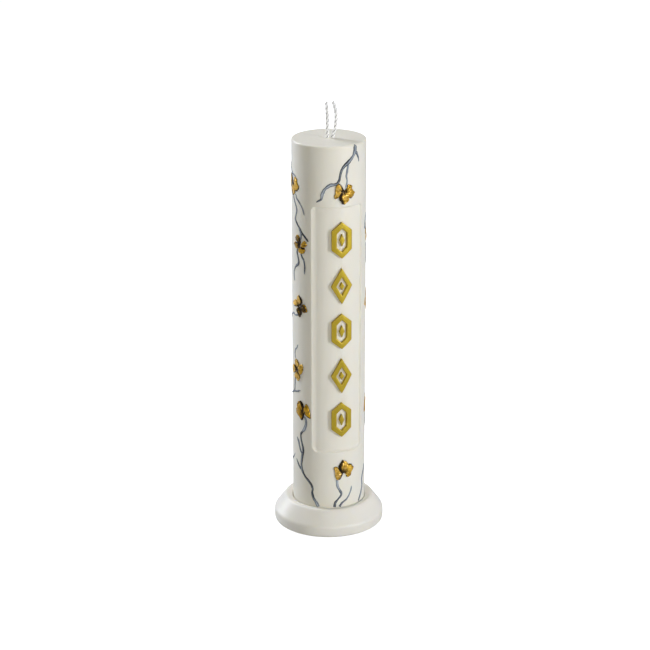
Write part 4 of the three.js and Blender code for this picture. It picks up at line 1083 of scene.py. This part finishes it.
# ------------------------------------------------------------------ the twigs
# stems as (degrees round the candle, height above the foot, width, tone 0 pale to 1 dark)
TWIGS = {
    "twig_front_top": [
        [(43, 256.2, 2.4, .6), (43.4, 253.4, 2.9, .55), (42.2, 250.6, 2.4, .5), (38.5, 248, 1.8, .6), (34, 246, 2.2, .8), (28.5, 244, 2.5, .85), (23.5, 242.3, 1.9, 1), (20, 240.2, 1.6, .8), (18, 237.5, 1.3, .75), (16.8, 235, 1.3, .8), (15.2, 232.6, 1.3, .8), (12.5, 231.1, 1.5, .85), (8, 230.5, 1.8, .7), (3, 230.2, 2.1, .6), (-1, 229.3, 2, .5), (-4.5, 228, 1.6, .5), (-7.5, 226.4, 1.8, .45), (-9.6, 224.4, 2, .3), (-10.6, 222, 1.5, .35), (-12, 220.3, 1.1, .6), (-15.5, 219.3, 1, .6), (-19.5, 218.2, 0.8, .7)],
        [(43.6, 251.6, 2, .6), (47, 249.8, 1.5, .6), (49.4, 247.8, 1.2, .65), (51, 245.8, 0.9, .5), (52.3, 243.6, 0.6, .1)],
        [(30, 244.4, 1.4, .5), (30.2, 241.8, 1.3, .4), (28.6, 238.6, 1.2, .45), (27.6, 235.4, 1.1, .35), (28.8, 232.6, 0.9, .1), (28, 230.4, 0.8, .05), (26.3, 227.6, 0.7, .1)],
    ],
    "twig_left_crown": [[(-93, 239.5, 0.7, .3), (-84, 237.2, 0.9, .3), (-76, 234.6, 1, .3), (-70.5, 233.6, 1.1, .4), (-66, 233.2, 1, .3), (-60, 232.4, 0.8, .1)]],
    "twig_left_1": [
        [(-69, 219.4, 0.9, .5), (-65, 215.6, 0.9, .4), (-59.5, 212.2, 1, .4), (-58.2, 209.8, 1.1, .4), (-60.5, 206.4, 1.1, .4), (-62.2, 203.4, 1.4, .5), (-59.5, 201.6, 1.4, .7), (-55, 199.6, 1.3, .8), (-50.5, 197.6, 1.9, .7), (-46.5, 195.3, 1.6, .75), (-42.5, 194.2, 1.2, .9), (-38, 192.4, 1.2, .9), (-32.5, 190.2, 0.9, .8)],
        [(-50, 197.6, 1.7, .6), (-47.8, 195.4, 1.9, .55), (-47.6, 192.6, 1.5, .5), (-49, 189.6, 1.1, .5)],
    ],
    "twig_left_1b": [[(-62, 221, 0.7, .4), (-57.5, 217.8, 1, .4), (-53.5, 216.6, 1.1, .5), (-48.5, 214.6, 0.9, .3), (-44.5, 212.4, 0.9, .4), (-42, 210, 1, .5), (-40.4, 207.8, 0.7, .4)]],
    "twig_left_2a": [[(-56, 184.5, 1, .7), (-57.6, 181, 1.2, .7), (-55.6, 178, 1.3, .6), (-53.6, 174.6, 1.4, .7), (-55, 172.6, 1.5, .7), (-60, 171, 1.3, .6), (-65, 168.6, 1.1, .3), (-68, 166, 0.9, .15), (-68.4, 163, 0.7, .05), (-66, 159.6, 0.6, .2)]],
    "twig_left_2b": [[(-48.8, 182, 0.9, .6), (-46.2, 179, 1.2, .7), (-42, 176.6, 1.1, .5), (-40.2, 173.6, 1.1, .7), (-40, 170.2, 0.9, .7), (-41, 166.8, 0.7, .3)]],
    "twig_left_3": [[(-98, 128.5, 0.8, .3), (-90, 131.3, 0.9, .3), (-80, 134.4, 1, .3), (-71, 136, 1.2, .4), (-65, 135.5, 1, .2), (-58, 136.3, 1, .4), (-53, 136.6, 0.8, .5)]],
    "twig_left_4a": [[(-56.5, 115.2, 0.5, 0), (-60, 112.6, 0.7, .1), (-65, 110.4, 0.8, .05), (-66.2, 107, 0.7, .1), (-64.6, 103.6, 0.6, .1)]],
    "twig_left_4b": [
        [(-66.5, 91.6, 0.9, .5), (-67, 87.5, 1, .5), (-67.6, 83.6, 1, .3), (-70, 79.8, 1.1, .5), (-80, 77.4, 1, .4), (-92, 75.2, 0.8, .3), (-102, 75.8, 0.6, .2)],
        [(-70, 79.6, 1, .5), (-62, 80.4, 1.1, .4), (-55.5, 81.6, 1, .5), (-50.5, 82.7, 0.6, .2)],
    ],
    "twig_left_5": [
        [(-43, 64.5, 1.2, .2), (-39.2, 62.6, 1.6, .35), (-38.4, 60, 1.6, .5), (-39.8, 57, 1.9, .3), (-42.8, 54.5, 2, .25), (-47, 52.4, 1.4, .8), (-50, 50.4, 1.3, .9), (-49.8, 47.4, 1.3, .7), (-47.2, 43.8, 1.4, .7), (-45, 40.4, 1.5, .85), (-45, 37.4, 1.7, .85), (-46.8, 34.8, 2, .75), (-48.2, 31.2, 1.7, .75), (-49, 27.8, 1.7, .6), (-48, 24.6, 1.9, .6), (-44, 21.6, 1.6, .85), (-40, 19.6, 1.5, .9), (-34, 17.4, 1.5, .95), (-29, 15, 1.5, .95), (-26.6, 12, 1.3, .7), (-27, 9.4, 1.3, .95), (-26.3, 6.8, 1.5, .9), (-23.5, 4.2, 1.8, .7), (-20, 2, 2.1, .45), (-16.4, -0.7, 2, .35)],
        [(-61, 47, 0.9, .4), (-57, 44.8, 1.4, .45), (-54, 41.5, 1.4, .45), (-51, 38.2, 1.3, .6), (-47, 36, 1.6, .6)],
        [(-63, 30.4, 0.6, .4), (-58.5, 28, 1.1, .7), (-54, 25.6, 1.5, .7), (-48.5, 23.9, 1.7, .5)],
    ],
    "twig_left_6": [[(-98, 23, 0.8, .3), (-90, 26.3, 0.9, .4), (-81, 28.2, 1, .5), (-73, 30.6, 0.8, .3), (-68, 33.4, 0.5, .1)]],
    "twig_front_bottom_a": [[(13.6, 20.5, 1, .2), (13.2, 17.6, 1.5, .2), (13.9, 15.2, 1.5, .25), (16, 12.8, 1.4, .4), (18.6, 10.8, 1.5, .6), (20.4, 8.8, 1.3, .7), (18.2, 6.6, 1.1, .7), (14.2, 4.6, 1.1, .8), (10.8, 2.9, 1.4, .8), (9.2, -0.7, 1.6, .9)]],
    "twig_front_bottom_b": [[(38.8, 13.2, 0.6, .1), (38.4, 11.2, 0.9, .2), (36, 8.4, 1, .2), (32.6, 5.6, 1, .3), (28.4, 3.7, 1, .5), (24, 2.6, 1.1, .6), (20.6, 1.4, 1.3, .65), (17.6, -0.7, 1.4, .75)]],
    "twig_right_bottom": [[(78, 24, 0.8, .4), (74, 20.6, 1.1, .35), (69, 17.8, 1.5, .4), (66.4, 14.2, 1.3, .3), (67, 9.8, 1.4, .35), (65, 6.2, 1.4, .35), (60.6, 2.9, 1.5, .45), (55.6, -0.7, 1.4, .5)]],
    "twig_right_1": [
        [(83, 206, 0.7, .3), (78, 203.4, 1, .4), (74.2, 199.6, 1.3, .4), (74.6, 196.6, 1.2, .4), (79, 194, 0.9, .5)],
        [(74.4, 198, 1, .4), (71, 195.4, 1, .3)],
    ],
    "twig_right_2": [[(86, 184.5, 0.9, .5), (90, 180, 1.2, .6), (88, 175, 1.2, .5), (92, 170.6, 1, .6), (98, 167.4, 0.8, .4), (101, 162.6, 0.6, .2)]],
    "twig_right_3": [
        [(94, 62, 1.1, .3), (90, 58, 1.4, .4), (92, 53.6, 1.6, .5), (98, 49.6, 1.4, .7), (102, 44.4, 1.4, .8), (100, 38.4, 1.7, .8), (103, 32, 1.6, .7), (110, 26, 1.5, .85), (118, 20.4, 1.5, .9), (121, 13.4, 1.4, .7), (117, 6.4, 1.7, .8), (114, 0.8, 1.8, .5)],
        [(100.4, 39, 1.4, .6), (107, 43, 1.2, .5), (112, 48.6, 1, .4), (113, 53.4, 0.6, .2)],
    ],
    "twig_right_4": [
        [(124, 225, 1, .6), (120, 220.6, 1.1, .6), (122, 215.4, 1.2, .5), (129, 211.4, 1.4, .7), (135, 206.6, 1.3, .8), (136, 200.4, 1, .6), (140, 195, 0.7, .3)],
        [(128, 212, 1.2, .5), (133, 215, 0.9, .4), (139, 216.6, 0.6, .2)],
    ],
    "twig_back_1": [
        [(192, 221, 1.1, .6), (186, 216.4, 1.3, .6), (184, 210.6, 1.5, .5), (188, 205.4, 1.4, .8), (186, 199.4, 1.2, .8), (180, 196.4, 1, .5)],
        [(187.6, 205.8, 1.3, .6), (195, 203, 1.2, .5), (202, 200.4, 1, .4), (207, 195, 0.7, .2)],
    ],
    "twig_back_2": [
        [(203, 143, 1.1, .6), (199, 138, 1.3, .6), (201, 131.6, 1.4, .5), (196, 126, 1.4, .8), (189, 121.6, 1.2, .8), (183, 117.6, 1, .5)],
        [(200.4, 131, 1.2, .6), (206, 126.4, 1, .4), (209, 120, 0.7, .2)],
    ],
    "twig_back_3": [
        [(200, 63, 1.2, .3), (205, 58.6, 1.5, .4), (203, 52.6, 1.6, .5), (197, 47.4, 1.5, .8), (196, 41, 1.7, .85), (199, 34.6, 1.6, .8), (205, 28.6, 1.5, .8), (207, 21.6, 1.5, .9), (203, 14.6, 1.5, .7), (205, 7.6, 1.8, .6), (209, 0.8, 2, .4)],
        [(196.6, 41.6, 1.4, .6), (190, 45.4, 1.2, .5), (184, 51, 0.9, .3), (182, 56.6, 0.6, .2)],
        [(204.6, 29, 1.3, .6), (212, 32, 1.1, .4), (218, 37, 0.7, .2)],
    ],
    "twig_back_4": [[(172, 24.6, 1.1, .3), (174, 19.6, 1.4, .4), (170, 14.6, 1.3, .7), (165, 9, 1.3, .8), (167, 3.6, 1.5, .7), (169, 0.8, 1.5, .6)]],
}


def build_stem(b, stations, seed):
    pts = [(d * DEG * R, z, w, t) for d, z, w, t in stations]
    curve = catmull(pts, per=12)
    line, length = spaced(curve, 8)
    n = max(10, int(length / 0.4))
    line, length = spaced(curve, n)
    tang = np.gradient(line[:, :2], axis=0)
    tang /= np.linalg.norm(tang, axis=1)[:, None]
    side = np.stack([-tang[:, 1], tang[:, 0]], 1)
    us = [-1.0, -0.94, -0.82, -0.62, -0.4, -0.2, 0.0, 0.2, 0.4, 0.62, 0.82, 0.94, 1.0]
    rows = []
    for i, (x, z, w, tone) in enumerate(line):
        s = i / (n - 1) * length
        end = min(s + (5 if stations[0][1] < 1.5 else 0), length - s + (5 if stations[-1][1] < 1.5 else 0))
        taper = math.sqrt(max(0.02, min(1.0, end / (0.9 + w * 0.5))))
        gnarl = noise.noise(Vector((s * 0.55, seed * 3.7, 0.2)))
        half = 0.5 * (w * 1.1 + 0.2) * (0.94 + 0.24 * gnarl) * taper
        cx = x + side[i][0] * 0.14 * noise.noise(Vector((s * 0.4, seed, 5)))
        cz = z + side[i][1] * 0.14 * noise.noise(Vector((s * 0.4, seed, 5)))
        high = (0.16 + 0.17 * w) * (0.85 + 0.4 * noise.noise(Vector((s * 0.9, seed, 9)))) * taper
        row, across, hollow = [], [], []
        for u in us:
            bark = 0.10 * noise.noise(Vector((s * 0.7, u * 2.4 + seed, 2.0)))
            h = high * (max(0.0, 1 - abs(u) ** 2.4) ** 0.6) * (1 + bark)
            if w > 1.3:
                h -= 0.10 * min(1, (w - 1.3)) * math.exp(-((u - 0.15) / 0.3) ** 2) * taper
            row.append(wrap(cx + side[i][0] * half * u, cz + side[i][1] * half * u, R + (h if abs(u) < 0.999 else -0.05)))
            across.append(abs(u))
            hollow.append(float(np.clip((w * taper - 0.9) / 0.9, 0, 1)))
        back = [wrap(cx + side[i][0] * half * u, cz + side[i][1] * half * u, R - 0.18) for u in (0.9, 0.0, -0.9)]
        rows.append(b.add(row + back, across=across + [1.0] * 3, tone=float(np.clip(tone, 0, 1)), hollow=hollow + [0.0] * 3))
    for a, c in zip(rows, rows[1:]):
        b.bridge(a, c)
    for row, i in ((rows[0], 0), (rows[-1], -1)):
        b.fan(row, wrap(line[i][0], line[i][1], R - 0.02), across=1.0, tone=float(line[i][3]), hollow=0.0)


for index, (name, stems) in enumerate(TWIGS.items()):
    b = Build()
    for k, st in enumerate(stems):
        build_stem(b, st, index * 5 + k + 1)
    b.object(name + ".paint", SLATE, "twig_paint", "candle", [name], sharp=60)


# ------------------------------------------------------------------ floor, world and lights
def plain(name, colour, rough=0.6):
    m = bpy.data.materials.new(name)
    m.use_nodes = True
    p = m.node_tree.nodes["Principled BSDF"]
    p.inputs["Base Color"].default_value = colour
    p.inputs["Roughness"].default_value = rough
    return m


def floor_material():
    """White card: it lights the foot as a plain matt surface, and is seen nearly burnt out with only a trace of shadow left."""
    m = bpy.data.materials.new("studio_floor")
    m.use_nodes = True
    t = m.node_tree
    p = t.nodes["Principled BSDF"]
    p.inputs["Base Color"].default_value = (0.55, 0.55, 0.55, 1)
    p.inputs["Roughness"].default_value = 0.9
    p.inputs["Specular IOR Level"].default_value = 0.0
    glow = t.nodes.new("ShaderNodeEmission")
    glow.inputs["Color"].default_value = (1, 1, 1, 1)
    glow.inputs["Strength"].default_value = FLOOR_GLOW
    both = t.nodes.new("ShaderNodeAddShader")
    path = t.nodes.new("ShaderNodeLightPath")
    pick = t.nodes.new("ShaderNodeMixShader")
    t.links.new(p.outputs["BSDF"], both.inputs[0])
    t.links.new(glow.outputs["Emission"], both.inputs[1])
    t.links.new(path.outputs["Is Camera Ray"], pick.inputs["Fac"])
    t.links.new(p.outputs["BSDF"], pick.inputs[1])
    t.links.new(both.outputs["Shader"], pick.inputs[2])
    t.links.new(pick.outputs["Shader"], t.nodes["Material Output"].inputs["Surface"])
    return m


FLOOR_GLOW = 0.93
bm = bmesh.new()
bmesh.ops.create_grid(bm, x_segments=4, y_segments=4, size=6)
me = bpy.data.meshes.new("floor")
bm.to_mesh(me)
bm.free()
floor = bpy.data.objects.new("floor", me)
floor.location.z = -0.0002
me.materials.append(floor_material())
SCENE.collection.objects.link(floor)

world = bpy.data.worlds.new("studio")
SCENE.world = world
world.use_nodes = True
wn = world.node_tree.nodes
bg = wn["Background"]
bg.inputs["Color"].default_value = (1, 1, 1, 1)
bg.inputs["Strength"].default_value = 0.0
seen = wn.new("ShaderNodeBackground")
seen.inputs["Color"].default_value = (1, 1, 1, 1)
seen.inputs["Strength"].default_value = 1.05
path = wn.new("ShaderNodeLightPath")
mixer = wn.new("ShaderNodeMixShader")
world.node_tree.links.new(path.outputs["Is Camera Ray"], mixer.inputs["Fac"])
world.node_tree.links.new(bg.outputs["Background"], mixer.inputs[1])
world.node_tree.links.new(seen.outputs["Background"], mixer.inputs[2])
world.node_tree.links.new(mixer.outputs["Shader"], wn["World Output"].inputs["Surface"])


def softbox(name, azimuth, elevation, distance, width, height, watts, colour=(1, 1, 1)):
    """A rectangular lamp aimed at the candle's middle. Azimuth 0 is in front, positive to the right."""
    data = bpy.data.lights.new(name, "AREA")
    data.shape = "RECTANGLE"
    data.size, data.size_y = width, height
    data.energy = watts
    data.color = colour
    ob = bpy.data.objects.new(name, data)
    SCENE.collection.objects.link(ob)
    a, e = azimuth * DEG, elevation * DEG
    way = Vector((math.sin(a) * math.cos(e), -math.cos(a) * math.cos(e), math.sin(e)))
    ob.location = Vector((0, 0, 0.15)) + way * distance
    ob.rotation_euler = way.to_track_quat("Z", "Y").to_euler()
    ob.visible_camera = False
    return ob


LIGHTS = [
    ("key_low", 56, 8, 1.6, 0.22, 0.3, 12.3, (0.97, 1, 1.09)),
    ("key_high", 56, 55, 1.6, 0.22, 0.3, 2.6, (1, 1, 1)),
    ("left_low", -120, 8, 1.6, 0.22, 0.3, 7.1, (0.95, 1, 1.09)),
    ("left_mid", -120, 32, 1.6, 0.22, 0.3, 1.4, (0.99, 1, 1.02)),
    ("left_high", -130, 32, 1.6, 0.22, 0.3, 13.0, (0.955, 1, 1.13)),
    ("front", 0, 15, 1.6, 0.9, 0.8, 6.8, (1.045, 1, 0.86)),
    ("right_back", 135, 15, 1.6, 0.9, 0.8, 2.6, (1.01, 1, 0.98)),
    ("back", 180, 45, 1.6, 0.9, 0.8, 4.8, (1, 1, 1.01)),
    ("overhead", 0, 90, 1.6, 0.9, 0.9, 6.9, (1, 1, 0.99)),
]
for row in LIGHTS:
    softbox(*row)

SCENE.view_settings.view_transform = "Standard"
SCENE.view_settings.look = "None"
SCENE.view_settings.exposure = 0.0
SCENE.view_settings.gamma = 1.0
